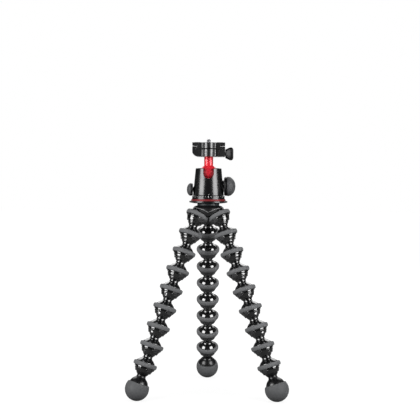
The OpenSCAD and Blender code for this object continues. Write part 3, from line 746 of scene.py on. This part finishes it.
@dataclass
class FootForm:
    """Shapes of a foot, measured down the leg from its ball's centre, in millimetres."""

    dome_u: float = 24.1
    dome_r: float = 14.2
    cap_u: float = 20.3
    cap_r: float = 13.7
    reach: float = 28.6
    pad_r: float = 17.5
    fit: float = 0.05

    def cap(self, link: LinkForm) -> Surface:
        """Ball, neck and cap, closed on the side that the rubber covers."""
        upper = link.ball_and_dome(self.dome_u, self.dome_r, self.cap_r)
        under = self.cap_u + 0.3
        return revolve(np.concatenate([upper, [(self.cap_r - 0.2, under), (0, under)]]), link.steps)

    def pad(self) -> Surface:
        """Round rubber: a flat top with a rounded brim about the cap, then a sphere."""
        brim_u = self.cap_u + self.fit
        angle = -math.degrees(math.asin((self.reach - brim_u) / self.pad_r))
        ball = arc((0, self.reach), self.pad_r, angle, 90, 44)
        top = brim_u + 0.1
        brim = rounded([(0, top), (self.cap_r - 0.3, top), (self.cap_r + 0.35, brim_u - 0.05),
                        ball[0], ball[1]], [0, 0.1, 0.3, 0.9, 0])
        return revolve(np.concatenate([brim, ball[2:]]))


@dataclass
class Leg:
    """One leg: eight links with their rubber rings and aprons, and a foot."""

    name: str
    link: LinkForm
    foot: FootForm

    def build(self) -> List[Piece]:
        """Builds the leg's pieces at the balls of its joints.

        Returns:
            The pieces, from the crown down.
        """
        balls = leg_balls(self.name)
        down = balls[-1] - balls[0]
        outward = down - UP * (down @ UP)
        places = [Place.along(ball, down, outward) for ball in balls]
        parts = (("shell", self.link.shell(), LINK_SHELL, "link_shell"),
                 ("rubber", self.link.ring(), RING_RUBBER, "ring_rubber"),
                 ("apron", self.link.apron(), APRON_RUBBER_SHADED, "ring_rubber"))
        pieces = []
        for number, place in enumerate(places[:LINKS], 1):
            node = f"{self.name}_link_{number}"
            pieces += [Piece(f"{node}_{part}", [surface.at(place)], finish).stand_for(node, slot, node)
                       for part, surface, finish, slot in parts]
        body = f"{self.name}_foot"
        cap = self.foot.cap(self.link).at(places[LINKS])
        pad = self.foot.pad().at(places[LINKS])
        pressed = Surface(np.maximum(pad.points, [-np.inf, -np.inf, 0]), pad.faces)
        return pieces + [
            Piece(f"{body}_cap", [cap], CAP_SATIN).stand_for(body, "link_shell", f"{body}_ball"),
            Piece(f"{body}_rubber", [pressed], FOOT_RUBBER).stand_for(body, "foot_rubber", f"{body}_pad"),
        ]


@dataclass
class Crown:
    """The crown: a domed cap over a core, three sockets with their rubber, and the platform disc."""

    link: LinkForm
    tilt: float = 31.0
    cap_r: float = 23.8
    cap_edge: float = 7.2
    cap_cut: float = 15.8
    cap_rim: float = 0.8
    core_step: float = 1.2
    core_cut: float = 11.05
    core_rim: float = 0.3
    bead_r: float = 0.35
    lobe_u: float = 13.0
    lobe_r: float = 9.58
    wall_drop: float = 20.0
    sharp: float = 30.0

    def __post_init__(self) -> None:
        """Reads where the sockets, the axis and the disc are."""
        self.balls = np.array([leg_balls(leg)[0] for leg in LEGS])
        self.axis = np.array([0.0, self.balls[:, 1].mean(), 0.0])
        self.out = (self.balls - self.axis) * [1, 1, 0]
        self.reach = float(np.linalg.norm(self.out[0]))
        self.ball_z = float(self.balls[0, 2])
        self.lean = math.radians(self.tilt)
        low, high = node_box("crown_disc")
        self.disc_low, self.disc_t, self.disc_r = low[2], high[2] - low[2], (high[0] - low[0]) / 2

    def dome(self, radius: float, top: float, cut: float, rim: float) -> Tuple[Surface, Surface]:
        """A flat-topped dome with a rounded shoulder, cut off by three planes across the sockets.

        For each direction about the axis, the height of the cut at a radius is the highest of the three
        planes there. The outline runs along the top, the shoulder and the wall as far as it stays above the
        cut, turns a rounded rim, and goes back along the cut to the axis. A thin bead of round section runs
        along the rim; its light grey is a painted highlight of the rim's edge.

        Args:
            radius: The dome's radius.
            top: Height of its top.
            cut: Distance of the planes above the balls' centres, along the sockets.
            rim: Size of the rounded rim.

        Returns:
            The closed dome, and the bead.
        """
        turn = np.radians(np.arange(360.0))
        flat_r, shoulder_z = radius - self.cap_edge, top - self.cap_edge
        bend = np.radians(np.linspace(0, 90, 60))
        flat = np.linspace(0, flat_r, 8)[:-1]
        outline_r = np.concatenate([flat, flat_r + self.cap_edge * np.sin(bend), [radius]])
        outline_z = np.concatenate([np.full(len(flat), top), shoulder_z + self.cap_edge * np.cos(bend),
                                    [self.ball_z - self.wall_drop]])
        length = np.concatenate([[0], np.cumsum(np.hypot(np.diff(outline_r), np.diff(outline_z)))])
        way = np.arctan2(self.out[:, 1], self.out[:, 0])
        near = np.cos(turn[:, None] - way[None, :]).max(axis=1)

        def on_outline(distance: np.ndarray) -> np.ndarray:
            """Radius and height at a distance along the outline."""
            return np.stack([np.interp(distance, length, line) for line in (outline_r, outline_z)], axis=-1)

        def cut_height(at_radius: np.ndarray, share: np.ndarray) -> np.ndarray:
            """Height of the highest cutting plane at a radius."""
            rise = math.sin(self.lean) * (at_radius * share - self.reach) + cut
            return self.ball_z + rise / math.cos(self.lean)

        above = outline_z[None, :] - cut_height(outline_r[None, :], near[:, None])
        below = np.argmax(above < 0, axis=1)
        column = np.arange(len(turn))
        share = above[column, below - 1] / (above[column, below - 1] - above[column, below])
        end = length[below - 1] + share * (length[below] - length[below - 1])
        outer = on_outline(np.linspace(0, 1, 40)[:, None] * (end - rim)[None, :])
        corner = on_outline(end)
        middle = np.stack([0 * near, cut_height(0 * near, near)], axis=-1)
        inward = (middle - corner) / np.linalg.norm(middle - corner, axis=-1, keepdims=True)
        back = corner + inward * rim
        bow = np.linspace(0, 1, 7)[1:, None, None]
        turned = (1 - bow) ** 2 * outer[-1] + 2 * bow * (1 - bow) * corner + bow ** 2 * back
        inner = back + np.linspace(0, 1, 6)[1:, None, None] * (middle - back)
        path = np.concatenate([outer, turned, inner])
        spot = np.radians(np.arange(0, 360, 45.0))[:, None, None]
        bead = turned[2] + self.bead_r * np.concatenate([np.cos(spot), np.sin(spot)], axis=-1)
        return (grid(around(path[..., 0], turn, path[..., 1]) + self.axis),
                grid(around(bead[..., 0], turn, bead[..., 1]) + self.axis, loop_rows=True))

    def sockets(self) -> List[Place]:
        """Frames of the three crown sockets, as if each were the end of a link."""
        ways = [math.sin(self.lean) * out / self.reach - math.cos(self.lean) * UP for out in self.out]
        return [Place.along(ball, way, out).moved(-self.link.pitch)
                for ball, way, out in zip(self.balls, ways, self.out)]

    def build(self) -> List[Piece]:
        """Builds the crown's pieces.

        Returns:
            The pieces, from the top down.
        """
        step, places = self.core_step, self.sockets()
        cap, bead = self.dome(self.cap_r, self.disc_low, self.cap_cut, self.cap_rim)
        core, _ = self.dome(self.cap_r - step, self.disc_low - step, self.core_cut, self.core_rim)
        lobe = [(0, self.lobe_u), (self.lobe_r, self.lobe_u), (self.link.groove_r, self.link.ring_top_u)]
        socket = revolve(np.concatenate([lobe, self.link.socket()]))
        sockets = [socket.at(place) for place in places]
        profile = rounded([(0, 0), (self.disc_r, 0), (self.disc_r, self.disc_t), (0, self.disc_t)],
                          [0, 0.5, 0.6, 0])
        disc = revolve(profile).at(Place.upright(self.axis[0], self.axis[1], self.disc_low))
        parts = [("crown_cap", [cap], CROWN_PAINT, self.sharp, "crown_paint", "crown_body"),
                 ("crown_bead", [bead], RIM_HIGHLIGHT_GREY, SHARP, "crown_paint", "crown_body"),
                 ("crown_core", [core], CORE_BLACK, self.sharp, "crown_paint", "crown_body"),
                 ("crown_sockets", sockets, LINK_SHELL, self.sharp, "crown_paint", "crown_body"),
                 ("crown_platform", [disc], DISC_PAINT, SHARP, "disc_paint", "crown_disc")]
        rubber = (("rubber", self.link.ring(), RING_RUBBER), ("apron", self.link.apron(), APRON_RUBBER_SHADED))
        for leg, place in zip(LEGS, places):
            parts += [(f"crown_{part}_{leg}", [surface.at(place)], finish, SHARP, "ring_rubber",
                       "crown_rings") for part, surface, finish in rubber]
        return [Piece(name, surfaces, finish, sharp).stand_for("crown", slot, node)
                for name, surfaces, finish, sharp, slot, node in parts]


class Knob(Enum):
    """The two round knobs of the head."""

    LOCK = "lock_knob"
    PAN = "pan_knob"


@dataclass
class BallHead:
    """The ball head: base, trim and scale rings, housing, ball with stem, and the two lock knobs."""

    base_hole_r: float = 4.85
    base_under: float = 7.0
    base_lip: float = 1.8
    trim_wall: float = 6.2
    trim_taper: float = 1.4
    scale_flare: float = 0.4
    tick_count: int = 36
    tick_width: float = 0.5
    tick_height: float = 1.3
    long_tick: float = 2.2
    zero_tick: float = 2.2
    print_t: float = 0.12
    print_lift: float = 0.02
    housing_foot_r: float = 23.0
    housing_top_r: float = 19.2
    notch_half: float = 7.9
    notch_top: float = 30.0
    notch_reach: float = 40.0
    cavity_r: float = 13.58
    bore_r: float = 13.73
    ball_r: float = 13.5
    stem_r: float = 6.7
    stem_round: float = 0.9
    boss_start: float = 15.0
    lock_boss_r: float = 9.5
    pan_boss_r: float = 4.3
    knob_ribs: int = 72
    rib_depth: float = 0.12

    def __post_init__(self) -> None:
        """Reads the ball's centre and the head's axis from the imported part."""
        self.ball = joint_point("tilt")
        self.place = Place.upright(self.ball[0], self.ball[1], 0.0)

    @staticmethod
    def level(node: str) -> Tuple[float, float, float]:
        """A node's lowest and highest height and its half width, in millimetres."""
        low, high = node_box(node)
        return low[2], high[2], (high[0] - low[0]) / 2

    def rings(self) -> List[Piece]:
        """Builds the base, the trim ring and the scale ring with its marks.

        Returns:
            The pieces, from the base up.
        """
        base_z, base_top, base_r = self.level("pan_base")
        trim_z, trim_top, trim_r = self.level("trim_ring")
        scale_z, scale_top, scale_r = self.level("scale_ring")
        hole, hub, spindle = self.base_hole_r, trim_r - self.trim_wall, self.bore_r - 0.1
        shoulder = scale_top - 0.4
        base = rounded(
            [(hole, base_z), (base_r - self.base_under, base_z), (base_r, trim_z - self.base_lip),
             (base_r - 0.15, trim_z + 0.3), (trim_r - 0.1, trim_z + 0.7), (hub - 0.1, trim_z + 0.1),
             (hub - 0.1, shoulder), (spindle, shoulder), (spindle, base_top), (hole, base_top)],
            [0.1, 0.3, 0.15, 0.1, 0.2, 0.1, 0.1, 0.1, 0.4, 0.1], loop=True)
        trim = rounded([(hub, trim_z), (trim_r, trim_z), (trim_r - self.trim_taper, trim_top),
                        (hub, trim_top)], [0.1, 0.3, 0.3, 0.1], loop=True)
        flare = scale_r + self.scale_flare
        scale = rounded([(hub, scale_z), (flare, scale_z), (flare, scale_z + 0.1), (scale_r, scale_z + 1.8),
                         (scale_r, scale_top), (hub, scale_top)], [0.1, 0.1, 0.1, 0.2, 0.4, 0.1], loop=True)
        parts = (("head_base", base, 128, BASE_BLACK, "base_black", "pan_base"),
                 ("trim_band", trim, 160, TRIM_RED, "trim_red", "trim_ring"),
                 ("scale_band", scale, 160, BASE_BLACK, "base_black", "scale_ring"))
        bands = [Piece(name, [revolve(profile, steps, True).at(self.place)], finish)
                 .stand_for("crown", slot, node) for name, profile, steps, finish, slot, node in parts]
        marks = self.ticks(scale_r + self.print_lift, scale_top - 0.5)
        return bands + [self.print_on("scale_marks", marks, "crown")]

    def ticks(self, radius: float, top: float) -> Surface:
        """Marks around the scale: patches between two angles and two heights, every third one longer.

        Args:
            radius: Radius that the marks lie on.
            top: Height of the marks' upper ends.

        Returns:
            The patches, open at the back.
        """
        number = np.arange(self.tick_count)[:, None]
        tall = np.where(number % 3 == 0, self.long_tick, self.tick_height)
        wide = np.where(number == 0, self.zero_tick, 1.0) * self.tick_width / radius / 2
        angle = number * 2 * np.pi / self.tick_count - np.pi / 2 + wide * np.array([[-1, 1, 1, -1]])
        return self.patches(around(radius, angle, top - tall * np.array([[1, 1, 0, 0]])))

    def index(self, radius: float, low: float, top: float) -> Surface:
        """The head's pointer: one patch at the foot of the housing's front, narrow at its lower end."""
        angle = -np.pi / 2 + np.array([-0.25, 0.25, 0.9, -0.9]) / radius
        rise = np.array([0.75, 0.75, 2.0, 2.0])
        taper = rise * (radius - self.housing_top_r) / (top - low)
        return self.patches(around(radius - taper, angle, low + rise))

    def patches(self, corners: np.ndarray) -> Surface:
        """Separate four-cornered patches about the head's axis."""
        points = corners.reshape(-1, 3)
        return Surface(points, np.arange(len(points)).reshape(-1, 4)).at(self.place)

    def print_on(self, name: str, marks: Surface, body: str) -> Piece:
        """Makes printed marks with a thin layer's thickness."""
        piece = Piece(name, [marks], MARK_WHITE)
        layer = piece.object.modifiers.new("layer", "SOLIDIFY")
        layer.thickness = self.print_t * MM
        layer.offset = 0.0
        return piece.stand_for(body, "base_black")

    def housing(self) -> List[Piece]:
        """Builds the housing: a tapered wall about a bore and a round cavity, with a U notch in its front.

        Returns:
            The housing, its bosses and the index mark on it.
        """
        low, top, _ = self.level("housing")
        foot_r, half, ball_z = self.housing_foot_r, self.notch_half, self.ball[2]
        rise = top - ball_z
        mouth = math.sqrt(self.cavity_r ** 2 - rise ** 2)
        cavity = arc((0, ball_z), self.cavity_r, 0, math.degrees(math.asin(rise / self.cavity_r)) - 3, 14)
        wall = rounded([(self.bore_r, low), (foot_r, low), (self.housing_top_r, top), (mouth + 0.5, top),
                        cavity[-1]], [0.2, 0.6, 1.0, 0.4, 0.0])
        profile = np.concatenate([wall[:-5], cavity[::-1], [(self.bore_r, ball_z - 0.5)]])
        shell = Piece("head_housing", [revolve(profile, 160, True).at(self.place)], HOUSING_BLACK)
        outline = np.concatenate([arc((0, 0), half, 180, 360, 33),
                                  [(half, self.notch_top), (-half, self.notch_top)]])
        lying = Place.along(self.ball, np.array([0.0, -1.0, 0.0]), np.array([1.0, 0.0, 0.0]))
        notch = Piece("notch", [prism(outline, 0.5, self.notch_reach).at(lying)], HOUSING_BLACK)
        shell.carve(notch).break_edges(0.5, 3).stand_for("head", "housing_black", "housing")
        bosses = [self.boss(self.lock_boss_r, joint_point("lock_knob_turn"), 1),
                  self.boss(self.pan_boss_r, joint_point("pan_knob_turn"), -1)]
        collar = Piece("housing_bosses", bosses, HOUSING_BLACK).stand_for("head", "housing_black", "housing")
        pointer = self.index(foot_r + self.print_lift, low, top)
        return [shell, collar, self.print_on("pan_index", pointer, "head")]

    def boss(self, radius: float, middle: np.ndarray, side: int) -> Surface:
        """A round boss along X with a broken edge, from inside the wall to the radius of the foot."""
        near, far = self.boss_start, self.housing_foot_r
        profile = rounded([(0, near), (radius, near), (radius, far), (0, far)], [0, 0.1, 0.5, 0])
        return revolve(profile, 64).at(Place.along(middle, np.array([side, 0.0, 0.0]), UP))

    def ball_and_stem(self) -> Piece:
        """Builds the ball and its stem: a circle, a small hollow round and a straight stem."""
        top = self.level("ball_stem")[1] - self.ball[2]
        hollow, stem = self.stem_round, self.stem_r
        hollow_z = math.sqrt((self.ball_r + hollow) ** 2 - (stem + hollow) ** 2)
        end = math.degrees(math.atan2(hollow_z, stem + hollow))
        profile = np.concatenate([
            arc((0, 0), self.ball_r, -90, end, 60),
            arc((stem + hollow, hollow_z), hollow, 180 + end, 180, 6)[1:],
            rounded([(stem, hollow_z + 0.5), (stem, top), (0, top)], [0, 0.3, 0])])
        piece = Piece("head_ball", [revolve(profile, 128).at(Place.upright(*self.ball))], BALL_RED)
        return piece.stand_for("ball", "ball_red", "ball_stem")

    def knob(self, which: Knob, side: int) -> List[Piece]:
        """Builds a round knob as a hub that flares from the shaft and a ribbed rubber grip with a round face.

        The grip's radius has shallow ribs about its edge: it falls by a depth times the square of a raised
        cosine of the turn. The corners of both outlines are shares of the knob's radius and length.

        Args:
            which: The knob.
            side: 1 or -1, the way that the knob points along X.

        Returns:
            The hub and the grip.
        """
        node = which.value
        low, high = node_box(node)
        near, radius = min(abs(low[0]), abs(high[0])), (high[2] - low[2]) / 2
        middle = joint_point(f"{node}_turn") * [0, 1, 1] + [side * near, 0, 0]
        place = Place.along(middle, np.array([side, 0.0, 0.0]), UP)
        size = np.array([radius, high[0] - low[0]])
        hub = rounded(np.array([(0, 0), (0.9, 0), (0.97, 0.09), (0.98, 0.25), (0.93, 0.3), (0, 0.3)]) * size,
                      [0, 0.6, 1.2, 0.3, 0.2, 0])
        grip = rounded(np.array([(0, 0.28), (0.94, 0.26), (1, 0.28), (1, 0.43), (0.92, 0.62), (0.68, 0.83),
                                 (0.4, 0.96), (0, 1)]) * size, [0, 0.3, 0.4, 2.0, 2.5, 3.0, 3.0, 0], 7)
        turn = full_turn(4 * self.knob_ribs)
        edge = np.clip((grip[:, :1] / radius - 0.8) / 0.15, 0, 1)
        ripple = self.rib_depth * edge * (0.5 + 0.5 * np.cos(self.knob_ribs * turn)) ** 2
        ribbed = grid(around(grip[:, :1] - ripple, turn, grip[:, 1:]))
        return [Piece(f"{node}_{part}", [surface.at(place)], finish).stand_for(node, "knob_black", node)
                for part, surface, finish in (("hub", revolve(hub), KNOB_HUB), ("grip", ribbed, KNOB_GRIP))]

    def build(self) -> List[Piece]:
        """Builds the head's pieces."""
        pieces = self.rings() + self.housing() + [self.ball_and_stem()]
        return pieces + self.knob(Knob.LOCK, 1) + self.knob(Knob.PAN, -1)


@dataclass
class QuickRelease:
    """The quick release: clamp, jaw, wing knob, camera plate with its pads, and the camera screw."""

    edge: float = 0.45
    knob_rows: int = 61
    knob_power: float = 0.75
    lobe_r: float = 9.0
    lobe_reach: float = 8.0
    lobe_gap: float = 1.2
    cove_r: float = 2.2
    floor_h: float = 10.6
    pad_w: float = 9.0
    rib_pitch: float = 1.6
    rib_depth: float = 0.12
    screw_r: float = 3.175
    screw_head_h: float = 3.0
    shank_r: float = 2.6
    thread_length: float = 5.6
    thread_pitch: float = 1.27
    thread_depth: float = 0.5
    tip_length: float = 0.9
    sharp: float = 50.0

    def coves(self, node: str, low_z: float, top_z: float) -> List[Surface]:
        """Hollow rounds where a solid's two round ends leave its flat sides.

        Each is an arc that touches the round end and the flat side, carried up between two heights and
        backed by a smaller one inside the solid.

        Args:
            node: The solid's node.
            low_z: Lower height.
            top_z: Upper height.

        Returns:
            The four rounds.
        """
        low, high = node_box(node)
        middle = joint_point("stem_spin") * [1, 1, 0]
        face, inside = (high[1] - low[1]) / 2 - self.lobe_reach, self.lobe_r - self.lobe_reach
        hollow_x = math.sqrt((self.lobe_r + self.cove_r) ** 2 - (self.cove_r + inside) ** 2)
        start = 180 + math.degrees(math.atan2(self.cove_r + inside, hollow_x))
        bend = arc((hollow_x, face + self.cove_r), self.cove_r, start, 270, 11)
        back = 0.3 * bend + 0.7 * np.array([self.lobe_r - 1.5, face - 1.0])
        flat = np.stack([bend, bend, back, back], axis=1)
        height = np.array([low_z, top_z, top_z, low_z])[None, :, None] + 0 * flat[..., :1]
        tube = np.concatenate([flat, height], axis=-1)
        return [capped(tube * [x, y, 1] + middle) for x in (-1, 1) for y in (-1, 1)]

    def wing_knob(self) -> Piece:
        """Builds the clamp's knob: oblong sections that grow taller and flatter along X, closed at the ends.

        A section's height and depth are powers of the sine and cosine. Its place, height and depth follow key
        sections, given as shares of the knob's length, half height and half depth.

        Returns:
            The knob.
        """
        low, high = node_box("clamp_knob")
        size = (high - low) * [1, 0.5, 0.5]
        keys = np.array([(0.0, 0.0, 0.0), (0.0, 0.6, 0.9), (0.02, 0.68, 1.0), (0.12, 0.73, 0.98),
                         (0.3, 0.84, 0.8), (0.46, 0.93, 0.62), (0.6, 0.98, 0.5), (0.71, 1.0, 0.44),
                         (0.83, 0.96, 0.4), (0.92, 0.87, 0.36), (0.97, 0.76, 0.3), (1.0, 0.58, 0.2),
                         (1.0, 0.0, 0.0)])
        share = np.linspace(0, len(keys) - 1, self.knob_rows)
        along, tall, deep = (np.interp(share, np.arange(len(keys)), line)[:, None] for line in keys.T)
        turn = full_turn(96)
        waves = (np.sin(turn), np.cos(turn))
        sine, cosine = (np.sign(wave) * np.abs(wave) ** self.knob_power for wave in waves)
        middle = joint_point("clamp_knob_turn")
        points = np.stack([low[0] + size[0] * along + 0 * turn, middle[1] + size[1] * deep * cosine,
                           middle[2] + size[2] * tall * sine], axis=-1)
        piece = Piece("wing_knob", [grid(points)], KNOB_HUB, self.sharp)
        return piece.stand_for("clamp_knob", "clamp_black", "clamp_knob")

    def pads(self) -> List[Piece]:
        """Builds the two pads: blocks whose tops are ribbed across, with a height that follows a cosine.

        Returns:
            The pads.
        """
        low, high = node_box("plate_pads")
        along = np.linspace(low[1], high[1], 240)[:, None]
        top = high[2] - self.rib_depth + self.rib_depth * np.cos(2 * np.pi * along / self.rib_pitch)
        section = np.array([(0, 0), (0, 0.9), (0.02, 1), (0.98, 1), (1, 0.9), (1, 0)])
        height = low[2] + (top - low[2]) * section[None, :, 1]
        pieces = []
        for side, start in (("left", low[0]), ("right", high[0] - self.pad_w)):
            across = start + self.pad_w * section[None, :, 0]
            surface = capped(np.stack(np.broadcast_arrays(across, along, height), axis=-1))
            pieces.append(Piece(f"plate_pad_{side}", [surface], PAD_RUBBER)
                          .stand_for("plate", "pad_rubber", "plate_pads"))
        return pieces

    def camera_screw(self) -> Piece:
        """Builds the camera screw: a head, and a shank whose radius falls and rises along a helix.

        Returns:
            The screw.
        """
        low, high = node_box("camera_screw")
        middle = joint_point("camera_screw_turn")
        head_r, head_h, length = (high[0] - low[0]) / 2, self.screw_head_h, high[2] - low[2]
        head = rounded([(0, 0), (head_r, 0), (head_r, head_h), (0, head_h)], [0, 0.4, 0.4, 0])
        place = np.linspace(head_h - 0.2, length, 160)[:, None]
        turn = full_turn(64)
        phase = (place / self.thread_pitch - turn / (2 * np.pi)) % 1.0
        tooth = np.clip(2.4 * np.abs(phase - 0.5) - 0.1, 0, 1)
        tip = np.clip((length - place) / self.tip_length, 0.0, 1.0)
        radius = (self.screw_r - self.thread_depth * tooth) * (0.78 + 0.22 * tip)
        radius = np.where(place < length - self.thread_length, self.shank_r, radius)
        at = Place.upright(middle[0], middle[1], low[2])
        surfaces = [revolve(head, 64).at(at), capped(around(radius, turn, place)).at(at)]
        piece = Piece("camera_thread", surfaces, STEEL, self.sharp)
        return piece.stand_for("camera_screw", "steel", "camera_screw")

    def build(self) -> List[Piece]:
        """Builds the quick release's pieces."""
        clamp_z, (plate_low, plate_high) = node_box("clamp_body")[0][2], node_box("camera_plate")
        rounds = (("clamp", "clamp_body", clamp_z, clamp_z + self.floor_h),
                  ("plate", "camera_plate", plate_low[2] + self.lobe_gap, plate_high[2]))
        coves = [Piece(f"{body}_coves", self.coves(node, low + self.edge, high - self.edge), CLAMP_BLACK)
                 .stand_for(body, "clamp_black", node) for body, node, low, high in rounds]
        copies = (("clamp_body", "clamp_frame", "clamp"), ("clamp_jaw", "jaw_bar", "jaw"),
                  ("camera_plate", "plate_top", "plate"))
        bars = [Piece.copy_of(node, name, CLAMP_BLACK, self.edge).stand_for(body, "clamp_black", node)
                for node, name, body in copies]
        return coves + bars + [self.wing_knob(), self.camera_screw()] + self.pads()


@dataclass(frozen=True)
class Lamp:
    """A rectangular lamp, in metres and degrees. A flat one lies on the floor and shows in gloss alone."""

    name: str
    azimuth: float
    elevation: float
    away: float
    width: float
    height: float
    radiance: float
    flat: bool = False

    def place(self, aim: np.ndarray) -> None:
        """Makes the lamp about a point; its power is the radiance, where 1 is white, times pi times its area.

        Args:
            aim: The point in metres.
        """
        data = bpy.data.lights.new(self.name, "AREA")
        data.shape = "RECTANGLE"
        data.size, data.size_y = self.width, self.height
        data.energy = self.radiance * math.pi * self.width * self.height
        turn, rise = math.radians(self.azimuth), math.radians(self.elevation)
        way = np.array([math.sin(turn) * math.cos(rise), -math.cos(turn) * math.cos(rise), math.sin(rise)])
        lamp = bpy.data.objects.new(self.name, data)
        lamp.location = (aim * [1, 1, 0] + UP * MM if self.flat else aim) + way * self.away
        lamp.rotation_euler = (math.pi if self.flat else math.pi / 2 - rise, 0, turn)
        lamp.visible_camera = False
        lamp.visible_diffuse = not self.flat
        bpy.context.scene.collection.objects.link(lamp)


LAMPS = (
    Lamp("key_left", -55, 16, 1.7, 1.1, 1.1, 8.4),
    Lamp("key_right", 55, 16, 1.7, 1.1, 1.1, 8.4),
    Lamp("low_left", -60, 0, 0.72, 0.42, 0.3, 10.0, flat=True),
    Lamp("low_right", 60, 0, 0.72, 0.42, 0.3, 10.0, flat=True),
    Lamp("back_fill", 180, 40, 1.8, 2.4, 1.3, 2.4),
)


@dataclass
class Studio:
    """Camera, lamps, floor and surroundings, in metres and degrees."""

    aim: Tuple[float, float, float]
    distance: float = 1.5
    camera_height: float = 0.322
    camera_side: float = 0.0022
    pitch: float = 1.82
    roll: float = -0.42
    lens: float = 86.1
    sensor: float = 36.0
    ambient: float = 0.05
    floor_grey: float = 0.17
    floor_roughness: float = 0.9
    floor_reach: float = 8.0
    floor_z: float = -0.0002
    glow_near: float = 0.87
    glow_from: float = 0.3
    glow_to: float = 1.3
    behind_from: float = 0.95
    behind_to: float = 0.99

    def camera(self) -> None:
        """Makes the camera at the photographed angle."""
        data = bpy.data.cameras.new("camera")
        data.lens, data.sensor_width = self.lens, self.sensor
        camera = bpy.data.objects.new("camera", data)
        camera.location = (self.camera_side, self.aim[1] - self.distance, self.camera_height)
        camera.rotation_euler = (math.radians(90 - self.pitch), math.radians(self.roll), 0)
        bpy.context.scene.collection.objects.link(camera)
        bpy.context.scene.camera = camera

    @staticmethod
    def clamped(tree: Tree, operation: str, first: Socket, second: Union[Socket, float]) -> Socket:
        """Adds a math node whose result stays from 0 to 1, and gives its result."""
        return add_node(tree, "Math", {0: first, 1: second}, operation=operation, use_clamp=True).outputs[0]

    @staticmethod
    def spread(tree: Tree, value: Socket, start: Tuple[float, float], end: Tuple[float, float]) -> Socket:
        """Adds a smooth ramp.

        Args:
            tree: The node tree.
            value: The value that the ramp follows.
            start: Value and result where the ramp starts.
            end: Value and result where it ends.

        Returns:
            The ramp's socket.
        """
        ramp = add_node(tree, "MapRange", {"Value": value}, interpolation_type="SMOOTHSTEP")
        feed(tree, ramp, {"From Min": start[0], "To Min": start[1], "From Max": end[0], "To Max": end[1]})
        return ramp.outputs["Result"]

    def seen(self, tree: Tree) -> Tuple[Socket, Socket]:
        """Adds masks for the rays that show the background.

        Args:
            tree: The node tree.

        Returns:
            A mask that is 1 for camera rays, and one that is 1 for camera, glossy and transmission rays.
        """
        path = add_node(tree, "LightPath").outputs
        total = self.clamped(tree, "ADD", path["Is Camera Ray"], path["Is Glossy Ray"])
        return path["Is Camera Ray"], self.clamped(tree, "ADD", total, path["Is Transmission Ray"])

    def floor(self) -> None:
        """Makes the pale floor: its glow grows outwards for the camera, and backwards in reflections."""
        made = bpy.data.materials.new("floor_pale")
        made.use_nodes = True
        tree = made.node_tree
        spot = add_node(tree, "TexCoord").outputs["Object"]
        away = add_node(tree, "VectorMath", {0: spot}, operation="LENGTH").outputs["Value"]
        glow = self.spread(tree, away, (self.glow_from, self.glow_near), (self.glow_to, 1.0))
        apart = add_node(tree, "SeparateXYZ", {0: spot})
        far = self.spread(tree, apart.outputs["Y"], (self.glow_to, 0.0), (2 * self.glow_to, 1.0))
        by_camera, shown = self.seen(tree)
        total = self.clamped(tree, "ADD", self.clamped(tree, "MULTIPLY", by_camera, glow),
                             self.clamped(tree, "MULTIPLY", shown, far))
        grey = (self.floor_grey, self.floor_grey, self.floor_grey, 1)
        feed(tree, tree.nodes["Principled BSDF"], {
            "Base Color": grey, "Roughness": self.floor_roughness, "Specular IOR Level": 0.0,
            "Emission Color": (1, 1, 1, 1), "Emission Strength": total})
        wide = self.floor_reach
        corners = [(x * wide, y * wide, self.floor_z) for x, y in ((-1, -1), (1, -1), (1, 1), (-1, 1))]
        mesh = bpy.data.meshes.new("floor")
        mesh.from_pydata(corners, [], [(0, 1, 2, 3)])
        mesh.materials.append(made)
        stage = bpy.data.objects.new("floor", mesh)
        bpy.context.scene.collection.objects.link(stage)

    def surroundings(self) -> None:
        """Makes the world: dim as light, white to the camera, and in reflections white straight behind."""
        world = bpy.data.worlds.new("white_behind")
        world.use_nodes = True
        tree = world.node_tree
        way = add_node(tree, "SeparateXYZ", {0: add_node(tree, "TexCoord").outputs["Generated"]})
        behind = self.spread(tree, way.outputs["Y"], (self.behind_from, 0.0), (self.behind_to, 1.0))
        by_camera, shown = self.seen(tree)
        white = self.clamped(tree, "MAXIMUM", by_camera, self.clamped(tree, "MULTIPLY", shown, behind))
        level = self.clamped(tree, "MAXIMUM", white, self.ambient)
        feed(tree, tree.nodes["Background"], {"Color": (1, 1, 1, 1), "Strength": level})
        bpy.context.scene.world = world

    def build(self) -> None:
        """Makes the camera, the lamps, the floor and the surroundings."""
        self.camera()
        for lamp in LAMPS:
            lamp.place(np.array(self.aim))
        self.floor()
        self.surroundings()
        bpy.context.scene.view_settings.view_transform = "Standard"


INNER_FINISHES: Dict[str, Finish] = {
    "head_screw": STEEL, "snap_ring": STEEL, "seat_cup": CUP_PLASTIC, "pan_shoe": BRASS, "pan_shaft": STEEL,
    "lock_shaft": STEEL, "clamp_bolt": STEEL, "guide_pins": STEEL, "clamp_screw": STEEL,
}


def dress_inner_nodes() -> None:
    """Gives the fasteners and inner pieces, whose solids are right as they are, their finishes."""
    for node, finish in INNER_FINISHES.items():
        mesh = frame["nodes"][node].data
        mesh.materials.clear()
        mesh.materials.append(finish.material())
        LOG.info("%s keeps its solid in %s", node, finish.name)


def main() -> None:
    """Builds the tripod from the legs up, dresses it and sets the studio around it."""
    logging.basicConfig(level=logging.INFO, format="%(message)s")
    link, foot = LinkForm(), FootForm()
    crown = Crown(link)
    pieces = [piece for name in LEGS for piece in Leg(name, link, foot).build()]
    for assembly in (crown, BallHead(), QuickRelease()):
        pieces += assembly.build()
    dress_inner_nodes()
    Studio((0.0, float(crown.axis[1]) * MM, 0.22)).build()
    LOG.info("%d pieces", len(pieces))


if __name__ == "__main__":
    main()
